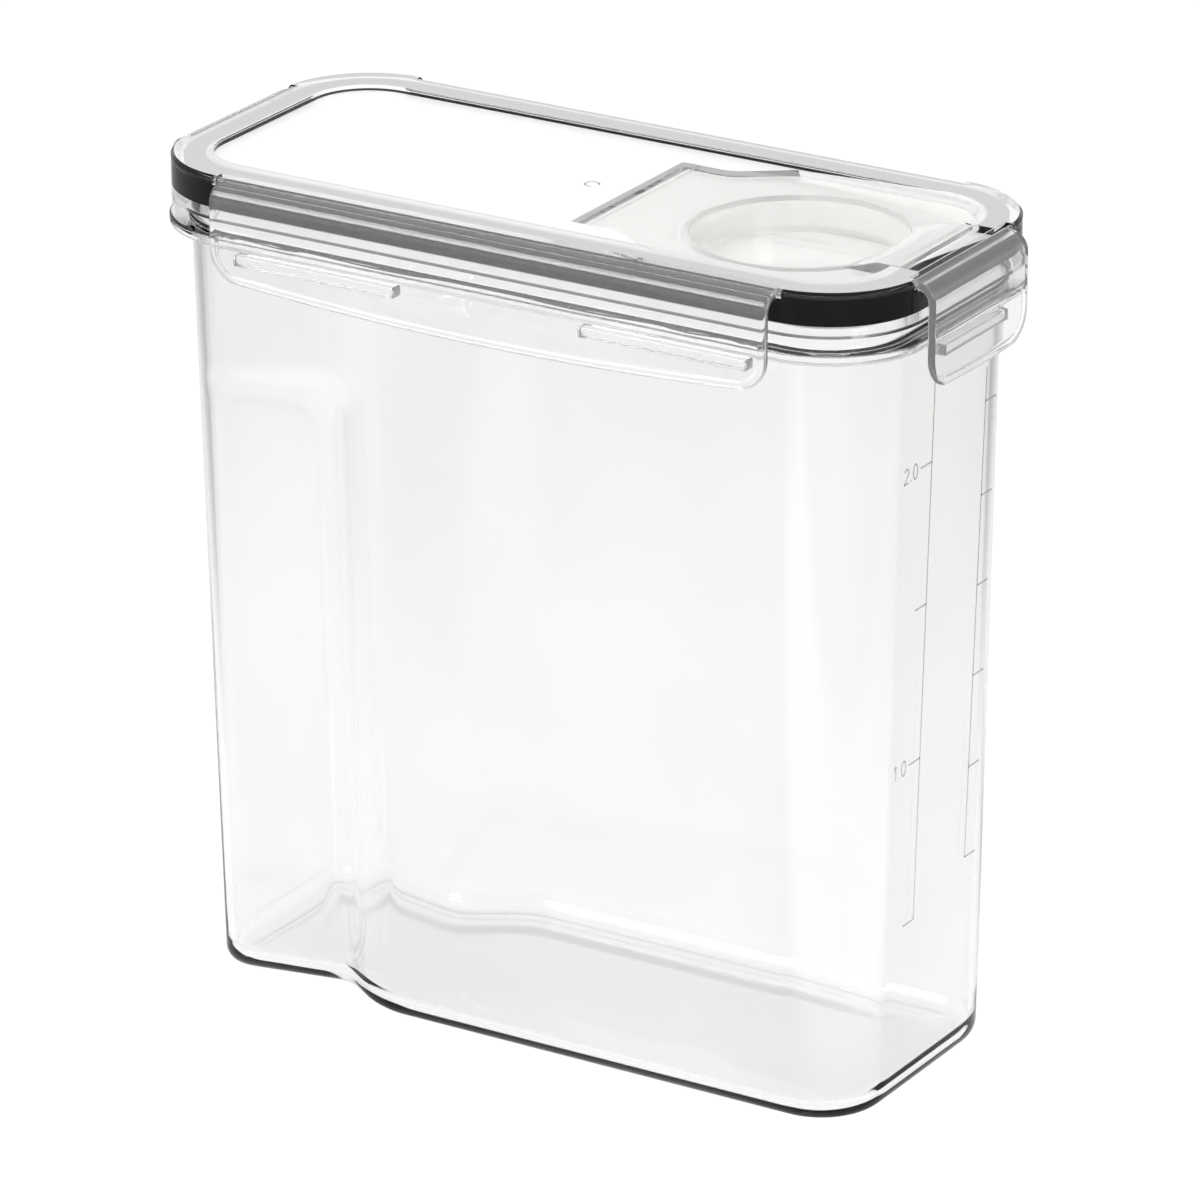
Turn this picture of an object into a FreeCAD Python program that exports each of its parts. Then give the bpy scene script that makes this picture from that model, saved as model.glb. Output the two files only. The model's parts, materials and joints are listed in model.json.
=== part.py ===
"""Clear food storage container with a latched pouring lid, built as a parametric document.

The frame stands on the middle of the foot: +X runs along the container towards the pouring end, +Y to the
back, +Z up, in millimetres. Every outline is the lid's rounded rectangle, moved in or out by a named inset.
"""
import FreeCAD, Part
import math
import os
import Sketcher
from FreeCAD import Placement, Rotation, Vector

SIZES = {
    "overrun": 5.0,
    # Lid outline, the master of every rounded rectangle
    "lid_length": 201.2,
    "lid_width": 90.0,
    "lid_corner_radius": 24.8,
    # Container wall, neck and flange
    "wall_inset": 4.7,
    "wall_draft": 2.8,
    "end_lean": 2.9,
    "wall_thickness": 2.0,
    "floor_thickness": 2.2,
    "foot_fillet": 5.0,
    "floor_bevel": 2.6,
    "flange_level": 192.6,
    "flange_thickness": 2.4,
    "flange_overhang": 0.6,
    "flange_bevel": 0.7,
    "neck_height": 9.3,
    # Hand grips pressed into both long walls at the closed end
    "grip_inset": 43.0,
    "grip_depth": 9.1,
    "grip_edge": 3.7,
    "grip_crown_drop": 38.1,
    "grip_corner": 10.0,
    "grip_yaw": 11.2,
    "grip_lean": 1.97,
    "grip_flank_angle": 45.0,
    "grip_root_fillet": 6.0,
    # Lid shell
    "lid_gap": 4.1,
    "lid_height": 10.9,
    "skirt_thickness": 3.2,
    "shoulder_bevel": 0.8,
    "rim_thickness": 2.4,
    "plug_inset": 8.4,
    "plug_thickness": 1.8,
    "panel_drop": 1.5,
    "panel_thickness": 1.8,
    # Lid gasket
    "gasket_gap": 0.05,
    "gasket_height": 6.3,
    # Flip cap and the tray it lies in
    "cap_drop": 2.9,
    "cap_thickness": 1.7,
    "cap_gap": 0.5,
    "cap_seat_gap": 0.4,
    "cap_back_gap": 1.0,
    "cap_hinge_inset": 89.0,
    "cap_neck_half_width": 24.8,
    "cap_neck_length": 11.4,
    "cap_flare_length": 13.5,
    "cap_flare_radius": 9.0,
    "cap_barrel_radius": 1.0,
    "cap_pin_radius": 0.65,
    "cap_pin_length": 2.2,
    "pin_clearance": 0.05,
    "tray_wall": 1.8,
    "deck_thickness": 1.8,
    "boss_length": 3.2,
    "boss_half_width": 2.6,
    # Dish plug, its seal and the pouring collar
    "pour_inset": 44.2,
    "dish_radius": 25.9,
    "dish_wall": 1.5,
    "dish_depth": 9.2,
    "dish_floor": 1.5,
    "seal_fit": 0.05,
    "seal_body": 1.0,
    "seal_lip": 0.55,
    "seal_height": 6.4,
    "seal_gap": 0.5,
    "collar_depth": 5.9,
    "collar_wall": 1.6,
    # Thumb lip of the cap and the finger notch under it
    "lip_half_length": 17.0,
    "lip_rise": 2.8,
    "lip_thickness": 1.2,
    "lip_ramp_run": 9.0,
    "lip_top_run": 3.4,
    "lip_overhang": 2.6,
    "notch_gap": 0.6,
    "notch_depth": 1.8,
    "notch_margin": 3.0,
    # Latches
    "latch_bow": 3.2,
    "short_latch_length": 45.0,
    "short_latch_bow": 0.8,
    "latch_reach": 25.75,
    "latch_standoff": 2.1,
    "latch_plate": 1.9,
    "latch_shoulder_drop": 7.85,
    "shoulder_slope": 18.0,
    "shoulder_round": 5.0,
    "latch_corner": 7.5,
    "latch_border": 2.3,
    "latch_panel_depth": 0.5,
    "latch_bow_margin": 10.0,
    "hinge_inset": 1.4,
    "hinge_drop": 1.5,
    "barrel_radius": 1.0,
    "barrel_gap": 0.3,
    "latch_pin_length": 1.2,
    "latch_end_gap": 0.3,
    "hook_reach": 3.5,
    "hook_thickness": 2.8,
    "hook_clearance": 0.2,
    "hook_inner_end": 25.0,
    "hook_end_margin": 5.8,
    "short_hook_half_length": 15.0,
}
EDGE_TOLERANCE = 1e-3
WEB_SHARE = 0.9


class Size:
    """A size that carries its number together with the sheet expression that it is worked out from."""

    def __init__(self, number, text):
        self.number = number
        self.text = text

    def __add__(self, other):
        other = as_size(other)
        return Size(self.number + other.number, f"({self.text} + {other.text})")

    def __sub__(self, other):
        other = as_size(other)
        return Size(self.number - other.number, f"({self.text} - {other.text})")

    def __mul__(self, other):
        other = as_size(other)
        return Size(self.number * other.number, f"({self.text} * {other.text})")

    def __truediv__(self, other):
        other = as_size(other)
        return Size(self.number / other.number, f"({self.text} / {other.text})")

    def __neg__(self):
        return Size(-self.number, f"(-{self.text})")


def as_size(value):
    """Reads a plain number as a size with no cell behind it."""
    return value if isinstance(value, Size) else Size(value, f"({value})")


def sine(angle):
    """The sine of an angle in degrees."""
    return Size(math.sin(math.radians(angle.number)), f"sin({angle.text})")


def cosine(angle):
    """The cosine of an angle in degrees."""
    return Size(math.cos(math.radians(angle.number)), f"cos({angle.text})")


document = FreeCAD.newDocument("container")
sheet = document.addObject("Spreadsheet::Sheet", "Sizes")
for row, (alias, number) in enumerate(SIZES.items(), 1):
    sheet.set(f"A{row}", alias)
    sheet.set(f"B{row}", str(number))
    sheet.setAlias(f"B{row}", alias)
document.recompute()


class Sheet:
    """The sheet's cells by alias, each as a Size."""


for alias in SIZES:
    setattr(Sheet, alias, Size(float(sheet.get(alias)), f"Sizes.{alias}"))
s = Sheet

# Heights, each from the ones below it
flange_top = s.flange_level + s.flange_thickness
neck_top = flange_top + s.neck_height
lid_bottom = flange_top + s.lid_gap
lid_top = lid_bottom + s.lid_height
channel_top = lid_top - s.rim_thickness
gasket_top = channel_top - s.gasket_gap
gasket_bottom = gasket_top - s.gasket_height
panel_top = lid_top - s.panel_drop
panel_bottom = panel_top - s.panel_thickness
cap_top = lid_top - s.cap_drop
cap_bottom = cap_top - s.cap_thickness
cap_axis_level = cap_top - s.cap_thickness / 2
deck_top = cap_bottom - s.cap_seat_gap
deck_bottom = deck_top - s.deck_thickness
collar_bottom = deck_bottom - s.collar_depth
dish_bottom = cap_top - s.dish_depth - s.dish_floor
hinge_level = lid_top - s.hinge_drop

# Places along the container, from the closed end and from the pouring end
grip_place = s.lid_length / 2 - s.grip_inset
grip_height = s.flange_level - s.grip_crown_drop
cap_hinge_place = s.lid_length / 2 - s.cap_hinge_inset
cap_neck_end = cap_hinge_place + s.cap_neck_length
cap_flare_end = cap_neck_end + s.cap_flare_length
pour_place = s.lid_length / 2 - s.pour_inset
long_latch_length = s.lid_length - s.lid_corner_radius * 2

# Insets and radii that several pieces share
rim_inset = s.plug_inset + s.plug_thickness
foot_inset = s.wall_inset + s.wall_draft
dish_outer = s.dish_radius + s.dish_wall
seal_inner = dish_outer + s.seal_fit
seal_outer = seal_inner + s.seal_body + s.seal_lip
pour_radius = seal_outer + s.seal_gap
latch_outer = s.latch_standoff + s.latch_plate
groove_radius = s.barrel_radius + s.barrel_gap


def bind(feature, path, size):
    """Ties one property of a feature to the sheet."""
    feature.setExpression(path, as_size(size).text)


def new_body(name):
    """Starts one piece as a body of its own."""
    body = document.addObject("PartDesign::Body", name)
    body.Label = name
    return body


def new_sketch(body, name, role, shift=0):
    """Lays a sketch on one of the body's planes, shifted along the plane's normal."""
    sketch = body.newObject("Sketcher::SketchObject", name)
    support = next(item for item in body.Origin.OriginFeatures if item.Role == role)
    sketch.AttachmentSupport = (support, [""])
    sketch.MapMode = "FlatFace"
    bind(sketch, "AttachmentOffset.Base.z", shift)
    return sketch


def hold(sketch, kind, first, second, size):
    """Adds one signed distance from the sketch's origin and ties it to the sheet."""
    size = as_size(size)
    if size.number == 0:
        sketch.addConstraint(Sketcher.Constraint("PointOnObject", first, second, -2 if kind == "DistanceX" else -1))
        return
    if size.number > 0:
        index = sketch.addConstraint(Sketcher.Constraint(kind, -1, 1, first, second, size.number))
    else:
        size = -size
        index = sketch.addConstraint(Sketcher.Constraint(kind, first, second, -1, 1, size.number))
    sketch.setExpression(f"Constraints[{index}]", size.text)


def draw_outline(sketch, corners):
    """Draws a closed outline through corners (x, y) or rounded corners (x, y, radius)."""
    count = len(corners)
    points = [Vector(as_size(c[0]).number, as_size(c[1]).number, 0) for c in corners]
    rounds = [c[2] if len(c) == 3 else None for c in corners]
    entries = []
    exits = []
    centres = []
    for k, (point, radius) in enumerate(zip(points, rounds)):
        if radius is None:
            entries.append(point)
            exits.append(point)
            centres.append(None)
            continue
        before = (points[k - 1] - point).normalize()
        after = (points[(k + 1) % count] - point).normalize()
        half_angle = before.getAngle(after) / 2
        cut = radius.number / math.tan(half_angle)
        entries.append(point + before * cut)
        exits.append(point + after * cut)
        centres.append(point + (before + after).normalize() * (radius.number / math.sin(half_angle)))
    lines = []
    for k in range(count):
        segment = Part.LineSegment(exits[k], entries[(k + 1) % count])
        lines.append(sketch.addGeometry(segment, False))
    for k, (radius, centre) in enumerate(zip(rounds, centres)):
        last = lines[k - 1]
        line = lines[k]
        if radius is None:
            sketch.addConstraint(Sketcher.Constraint("Coincident", last, 2, line, 1))
            hold(sketch, "DistanceX", line, 1, corners[k][0])
            hold(sketch, "DistanceY", line, 1, corners[k][1])
            continue
        start = entries[k] - centre
        end = exits[k] - centre
        left_turn = start.cross(end).z > 0
        if not left_turn:
            start, end = end, start
        circle = Part.Circle(centre, Vector(0, 0, 1), radius.number)
        arc = Part.ArcOfCircle(circle, math.atan2(start.y, start.x), math.atan2(end.y, end.x))
        arc = sketch.addGeometry(arc, False)
        corner = sketch.addGeometry(Part.Point(points[k]), True)
        sketch.addConstraint(Sketcher.Constraint("Tangent", last, 2, arc, 1 if left_turn else 2))
        sketch.addConstraint(Sketcher.Constraint("Tangent", line, 1, arc, 2 if left_turn else 1))
        sketch.addConstraint(Sketcher.Constraint("PointOnObject", corner, 1, last))
        sketch.addConstraint(Sketcher.Constraint("PointOnObject", corner, 1, line))
        hold(sketch, "DistanceX", corner, 1, corners[k][0])
        hold(sketch, "DistanceY", corner, 1, corners[k][1])
        index = sketch.addConstraint(Sketcher.Constraint("Radius", arc, radius.number))
        sketch.setExpression(f"Constraints[{index}]", radius.text)


def draw_circle(sketch, x, y, radius):
    """Draws one circle about a held centre."""
    centre = Vector(as_size(x).number, as_size(y).number, 0)
    circle = sketch.addGeometry(Part.Circle(centre, Vector(0, 0, 1), radius.number), False)
    hold(sketch, "DistanceX", circle, 3, x)
    hold(sketch, "DistanceY", circle, 3, y)
    index = sketch.addConstraint(Sketcher.Constraint("Radius", circle, radius.number))
    sketch.setExpression(f"Constraints[{index}]", radius.text)


def rectangle(left, right, low, high):
    """The corners of a plain rectangle."""
    return [(left, low), (right, low), (right, high), (left, high)]


def ring_corners(inset):
    """The lid's rounded rectangle, moved inwards by an inset."""
    long_half = s.lid_length / 2 - inset
    short_half = s.lid_width / 2 - inset
    radius = s.lid_corner_radius - inset
    return [
        (long_half, short_half, radius),
        (-long_half, short_half, radius),
        (-long_half, -short_half, radius),
        (long_half, -short_half, radius),
    ]


def feature(body, kind, name, sketch, length, back=False, middle=False):
    """Pads or pockets a sketch by a length, the other way round or about the sketch's plane on request."""
    result = body.newObject(f"PartDesign::{kind}", name)
    result.Profile = sketch
    bind(result, "Length", length)
    result.Reversed = back
    result.Midplane = middle
    document.recompute()
    return result


def band(body, kind, name, level, insets, length, back=False):
    """Pads or pockets the rounded rectangles at the given insets from one level."""
    sketch = new_sketch(body, f"{name}_sketch", "XY_Plane", level)
    for inset in insets:
        draw_outline(sketch, ring_corners(inset))
    return feature(body, kind, name, sketch, length, back)


def middle_of(edge):
    """The point halfway along an edge."""
    return edge.valueAt((edge.FirstParameter + edge.LastParameter) / 2)


def edges_where(shape, test):
    """The names of the edges whose halfway point and length pass a test."""
    return [f"Edge{k}" for k, edge in enumerate(shape.Edges, 1) if test(middle_of(edge), edge)]


def is_level(edge, size):
    """Whether an edge lies flat at one height."""
    box = edge.BoundBox
    return max(abs(box.ZMin - size.number), abs(box.ZMax - size.number)) < EDGE_TOLERANCE


def round_edges(body, name, base, names, radius):
    """Rounds the named edges of the body's last feature."""
    result = body.newObject("PartDesign::Fillet", name)
    result.Base = (base, names)
    bind(result, "Radius", radius)
    body.Tip = result
    document.recompute()
    return result


def bevel_edges(body, name, base, names, size):
    """Bevels the named edges of the body's last feature."""
    result = body.newObject("PartDesign::Chamfer", name)
    result.Base = (base, names)
    bind(result, "Size", size)
    body.Tip = result
    document.recompute()
    return result


def wall_reach(inset, level):
    """How far the drafted walls reach at one level: left, right, front and back. The closed end leans in most."""
    rise = level / s.flange_level
    draft = foot_inset - s.wall_draft * rise + inset
    side = s.lid_width / 2 - draft
    right = s.lid_length / 2 - draft
    left = s.end_lean - s.end_lean * rise - right
    return left, right, -side, side


def bind_wedge(wedge, start, stop, low, high):
    """Ties a wedge's two ends to the sheet: where they lie, and how far each reaches across."""
    bind(wedge, "Ymin", start)
    bind(wedge, "Ymax", stop)
    for path, size in zip(("Xmin", "Xmax", "Zmin", "Zmax"), low):
        bind(wedge, path, size)
    for path, size in zip(("X2min", "X2max", "Z2min", "Z2max"), high):
        bind(wedge, path, size)


def grip_tool(name, inset, side):
    """The form of one hand grip's hollow, at an inset from the outer wall, for the front (-1) or the back (1).

    It is a wedge whose floor turns by a yaw about the upright and a lean about the long axis, so that the grip
    is deepest beside its flank and runs out towards the end and the top.
    """
    body = new_body(name)
    grip = body.newObject("PartDesign::AdditiveWedge", f"{name}_wedge")
    half_turn = s.grip_flank_angle / 2
    shift = inset * sine(half_turn) / cosine(half_turn)
    draw = s.lid_corner_radius
    spread = draw * sine(s.grip_flank_angle) / cosine(s.grip_flank_angle)
    reach = s.grip_inset + s.lid_corner_radius
    right = s.grip_edge + shift
    crown = grip_height + shift
    yaw = Rotation(Vector(0, 0, 1), -s.grip_yaw.number * side)
    lean = Rotation(Vector(1, 0, 0), -s.grip_lean.number * side)
    base = (s.lid_width / 2 - foot_inset - s.grip_depth - inset) * side
    grip.Placement = Placement(Vector(-grip_place.number, base.number, 0), yaw * lean)
    bind(grip, "Placement.Base.x", -grip_place)
    bind(grip, "Placement.Base.y", base)
    near = (-reach, right, -draw, crown)
    far = (-reach, right + spread, -draw, crown + spread)
    if side > 0:
        bind_wedge(grip, as_size(0), draw, near, far)
    else:
        bind_wedge(grip, -draw, as_size(0), far, near)
    document.recompute()
    slants = [min(edge.BoundBox.XLength, edge.BoundBox.ZLength) for edge in grip.Shape.Edges]
    bend = f"Edge{slants.index(max(slants)) + 1}"
    bent = round_edges(body, f"{name}_bend", grip, [bend], s.grip_corner + shift)
    inward = grip.Placement.inverse()
    roots = edges_where(
        bent.Shape,
        lambda point, edge: abs(inward.multVec(point).y) < EDGE_TOLERANCE
        and abs(inward.multVec(point).x - right.number) < EDGE_TOLERANCE,
    )
    round_edges(body, f"{name}_root", bent, roots, s.grip_root_fillet + inset)
    return body


def vessel_form(name, inset, floor, top):
    """The container's tapering form with both hand grips, at an inset from the outer wall."""
    tools = [grip_tool(f"{name}_front_grip", inset, -1), grip_tool(f"{name}_back_grip", inset, 1)]
    body = new_body(name)
    wall = body.newObject("PartDesign::AdditiveWedge", f"{name}_wall")
    wall.Placement = Placement(Vector(0, 0, 0), Rotation(Vector(1, 0, 0), 90))
    bind_wedge(wall, floor, top, wall_reach(inset, floor), wall_reach(inset, top))
    document.recompute()
    upright = edges_where(wall.Shape, lambda point, edge: edge.BoundBox.ZLength > s.flange_level.number / 2)
    round_edges(body, f"{name}_corners", wall, upright, s.lid_corner_radius - s.wall_inset - inset)
    grips = body.newObject("PartDesign::Boolean", f"{name}_grips")
    grips.Type = "Cut"
    grips.setObjects(tools)
    body.Tip = grips
    document.recompute()
    return body


def build_container():
    """The thin-walled vessel: outer form with flange and neck, less the form of its hollow."""
    outer = vessel_form("outer_form", as_size(0), as_size(0), s.flange_level)
    form = outer.Tip
    foot = edges_where(form.Shape, lambda point, edge: is_level(edge, as_size(0)))
    round_edges(outer, "foot_round", form, foot, s.foot_fillet)
    flange = band(outer, "Pad", "flange", s.flange_level, [-s.flange_overhang], s.flange_thickness)
    rims = edges_where(
        flange.Shape,
        lambda point, edge: edge_is_outside(edge)
        and (is_level(edge, s.flange_level) or is_level(edge, flange_top)),
    )
    bevel_edges(outer, "flange_ease", flange, rims, s.flange_bevel)
    band(outer, "Pad", "neck", flange_top, [s.wall_inset], s.neck_height)
    hollow = vessel_form("hollow_form", s.wall_thickness, s.floor_thickness, neck_top + s.overrun)
    bent = hollow.Tip
    floor = edges_where(bent.Shape, lambda point, edge: is_level(edge, s.floor_thickness))
    bevel_edges(hollow, "floor_ease", bent, floor, s.floor_bevel)
    container = document.addObject("Part::Cut", "container_body")
    container.Base = outer
    container.Tool = hollow
    container.Label = "container_body"
    document.recompute()
    return container


def edge_is_outside(edge):
    """Whether an edge reaches past the lid's outline, as the flange's do and the wall's don't."""
    box = edge.BoundBox
    along = max(abs(box.XMin), abs(box.XMax)) > s.lid_length.number / 2
    across = max(abs(box.YMin), abs(box.YMax)) > s.lid_width.number / 2
    return along or across


def cap_corners(back, neck_grow, rim_grow):
    """The cap's outline: a hinge neck that flares out to the rim's inner wall and follows its end."""
    neck = s.cap_neck_half_width + neck_grow
    side = s.lid_width / 2 - rim_inset - s.cap_gap + rim_grow
    end = s.lid_length / 2 - rim_inset - s.cap_gap + rim_grow
    radius = s.lid_corner_radius - rim_inset - s.cap_gap + rim_grow
    return [
        (back, -neck),
        (cap_neck_end, -neck, s.cap_flare_radius),
        (cap_flare_end, -side, s.cap_flare_radius),
        (end, -side, radius),
        (end, side, radius),
        (cap_flare_end, side, s.cap_flare_radius),
        (cap_neck_end, neck, s.cap_flare_radius),
        (back, neck),
    ]


def latch_seat(body, name, role, length, out):
    """The rim's seat for one latch: an open groove for the hinge rod and a pin socket at either end."""
    face = s.lid_width / 2 if role == "YZ_Plane" else s.lid_length / 2
    inner = (face - s.hinge_inset - groove_radius) * out
    outer = (face + s.overrun) * out
    low = hinge_level - groove_radius
    high = lid_top + s.overrun
    half = length / 2 + s.latch_end_gap
    groove = new_sketch(body, f"{name}_groove_sketch", role)
    draw_outline(groove, [(outer, low), (inner, low, groove_radius), (inner, high), (outer, high)])
    feature(body, "Pocket", f"{name}_groove", groove, half * 2, middle=True)
    sockets = new_sketch(body, f"{name}_socket_sketch", role)
    draw_circle(sockets, (face - s.hinge_inset) * out, hinge_level, s.barrel_radius + s.pin_clearance)
    feature(body, "Pocket", f"{name}_sockets", sockets, (half + s.latch_pin_length) * 2, middle=True)


def build_lid():
    """The clear lid: skirt, gasket channel, plug wall, panel, cap tray, pouring collar and hinge sockets."""
    body = new_body("lid")
    block = band(body, "Pad", "lid_block", lid_bottom, [as_size(0)], s.lid_height)
    shoulder = edges_where(block.Shape, lambda point, edge: is_level(edge, lid_top))
    bevel_edges(body, "lid_shoulder", block, shoulder, s.shoulder_bevel)
    band(body, "Pocket", "panel_recess", lid_top, [rim_inset], s.panel_drop)
    band(body, "Pocket", "hollow", lid_bottom, [rim_inset], panel_bottom - lid_bottom, back=True)
    channel = [s.skirt_thickness, s.plug_inset]
    band(body, "Pocket", "gasket_channel", lid_bottom, channel, channel_top - lid_bottom, back=True)

    recess_back = cap_hinge_place - s.cap_barrel_radius - s.cap_back_gap
    tray = new_sketch(body, "tray_sketch", "XY_Plane", deck_bottom)
    tray_rim = s.cap_gap + s.plug_thickness / 2
    draw_outline(tray, cap_corners(recess_back - s.tray_wall, s.cap_gap + s.tray_wall, tray_rim))
    feature(body, "Pad", "tray", tray, panel_bottom - deck_bottom)
    side = s.cap_neck_half_width + s.cap_gap
    for name, sign in (("front", -1), ("back", 1)):
        boss = new_sketch(body, f"{name}_boss_sketch", "XY_Plane", deck_bottom)
        ends = sorted((side * sign, (side + s.boss_length) * sign), key=lambda size: size.number)
        left = cap_hinge_place - s.boss_half_width
        right = cap_hinge_place + s.boss_half_width
        draw_outline(boss, rectangle(left, right, ends[0], ends[1]))
        feature(body, "Pad", f"{name}_boss", boss, panel_bottom - deck_bottom)
    recess = new_sketch(body, "cap_recess_sketch", "XY_Plane", panel_top)
    draw_outline(recess, cap_corners(recess_back, s.cap_gap, s.cap_gap))
    feature(body, "Pocket", "cap_recess", recess, panel_top - deck_top)
    sockets = new_sketch(body, "cap_socket_sketch", "XZ_Plane")
    draw_circle(sockets, cap_hinge_place, cap_axis_level, s.cap_pin_radius + s.pin_clearance)
    across = (side + s.boss_length + s.overrun) * 2
    feature(body, "Pocket", "cap_sockets", sockets, across, middle=True)

    collar = new_sketch(body, "collar_sketch", "XY_Plane", collar_bottom)
    draw_circle(collar, pour_place, 0, pour_radius + s.collar_wall)
    feature(body, "Pad", "collar", collar, deck_bottom - collar_bottom)
    bore = new_sketch(body, "pour_sketch", "XY_Plane", deck_top)
    draw_circle(bore, pour_place, 0, pour_radius)
    feature(body, "Pocket", "pour_opening", bore, deck_top - collar_bottom + s.overrun)

    notch = new_sketch(body, "notch_sketch", "XY_Plane", lid_top)
    inner = s.lid_length / 2 - rim_inset - s.cap_gap
    outer = s.lid_length / 2 - s.notch_margin
    reach = s.lip_half_length + s.notch_gap
    draw_outline(notch, rectangle(inner, outer, -reach, reach))
    feature(body, "Pocket", "finger_notch", notch, s.notch_depth)

    latch_seat(body, "front", "YZ_Plane", long_latch_length, -1)
    latch_seat(body, "back", "YZ_Plane", long_latch_length, 1)
    latch_seat(body, "right", "XZ_Plane", s.short_latch_length, 1)
    latch_seat(body, "left", "XZ_Plane", s.short_latch_length, -1)
    return body


def build_gasket():
    """The black gasket: a ring that fills the lid's channel, grooved below for the container's neck."""
    body = new_body("lid_gasket")
    outer = s.skirt_thickness + s.gasket_gap
    inner = s.plug_inset - s.gasket_gap
    band(body, "Pad", "gasket_ring", gasket_bottom, [outer, inner], s.gasket_height)
    neck_outer = s.wall_inset - s.gasket_gap
    neck_inner = s.wall_inset + s.wall_thickness + s.gasket_gap
    depth = neck_top + s.gasket_gap - gasket_bottom
    band(body, "Pocket", "neck_groove", gasket_bottom, [neck_outer, neck_inner], depth, back=True)
    return body


def build_cap():
    """The flip cap: a flared plate with a hinge roll, a dish plug and a thumb lip over the finger notch."""
    body = new_body("flip_cap")
    plate = new_sketch(body, "plate_sketch", "XY_Plane", cap_bottom)
    draw_outline(plate, cap_corners(cap_hinge_place, as_size(0), as_size(0)))
    feature(body, "Pad", "plate", plate, s.cap_thickness)
    roll = new_sketch(body, "roll_sketch", "XZ_Plane")
    draw_circle(roll, cap_hinge_place, cap_axis_level, s.cap_barrel_radius)
    feature(body, "Pad", "hinge_roll", roll, s.cap_neck_half_width * 2, middle=True)
    pins = new_sketch(body, "pins_sketch", "XZ_Plane")
    draw_circle(pins, cap_hinge_place, cap_axis_level, s.cap_pin_radius)
    feature(body, "Pad", "hinge_pins", pins, (s.cap_neck_half_width + s.cap_pin_length) * 2, middle=True)
    plug = new_sketch(body, "plug_sketch", "XY_Plane", dish_bottom)
    draw_circle(plug, pour_place, 0, dish_outer)
    feature(body, "Pad", "dish_plug", plug, cap_top - dish_bottom)
    dish = new_sketch(body, "dish_sketch", "XY_Plane", cap_top)
    draw_circle(dish, pour_place, 0, s.dish_radius)
    feature(body, "Pocket", "dish_hollow", dish, s.dish_depth)
    thumb = new_sketch(body, "thumb_sketch", "XZ_Plane")
    end = s.lid_length / 2 - rim_inset - s.cap_gap
    crest = cap_top + s.lip_rise
    under = crest - s.lip_thickness
    crest_start = end - s.lip_top_run
    draw_outline(
        thumb,
        [
            (crest_start - s.lip_ramp_run, cap_bottom),
            (end, cap_bottom),
            (end, under),
            (end + s.lip_overhang, under),
            (end + s.lip_overhang, crest),
            (crest_start, crest),
            (crest_start - s.lip_ramp_run, cap_top),
        ],
    )
    feature(body, "Pad", "thumb_lip", thumb, s.lip_half_length * 2, middle=True)
    dish_again = new_sketch(body, "dish_clear_sketch", "XY_Plane", crest)
    draw_circle(dish_again, pour_place, 0, s.dish_radius)
    feature(body, "Pocket", "dish_clear", dish_again, crest - cap_bottom)
    return body


def build_seal():
    """The white seal ring on the dish plug, flared to a sealing lip at its upper end."""
    body = new_body("cap_seal_ring")
    sketch = new_sketch(body, "seal_sketch", "XZ_Plane")
    top = cap_bottom - s.seal_fit
    low = top - s.seal_height
    draw_outline(sketch, [(seal_inner, low), (seal_inner + s.seal_body, low), (seal_outer, top), (seal_inner, top)])
    turn = body.newObject("PartDesign::Revolution", "seal_ring")
    turn.Profile = sketch
    turn.ReferenceAxis = (sketch, ["V_Axis"])
    turn.Angle = 360
    bind(body, "Placement.Base.x", pour_place)
    document.recompute()
    return body


def latch_face(length, bow, border, top):
    """The latch's face: upright sides, rounded lower corners and a lower edge bowed downwards."""
    half = length / 2 - border
    low = hinge_level - s.latch_reach + bow + border
    radius = (half - s.latch_bow_margin) * half / (bow * 2)
    corner = s.latch_corner - border
    return [(-half, top), (-half, low, corner), (0, low - bow * 2, radius), (half, low, corner), (half, top)]


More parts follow.
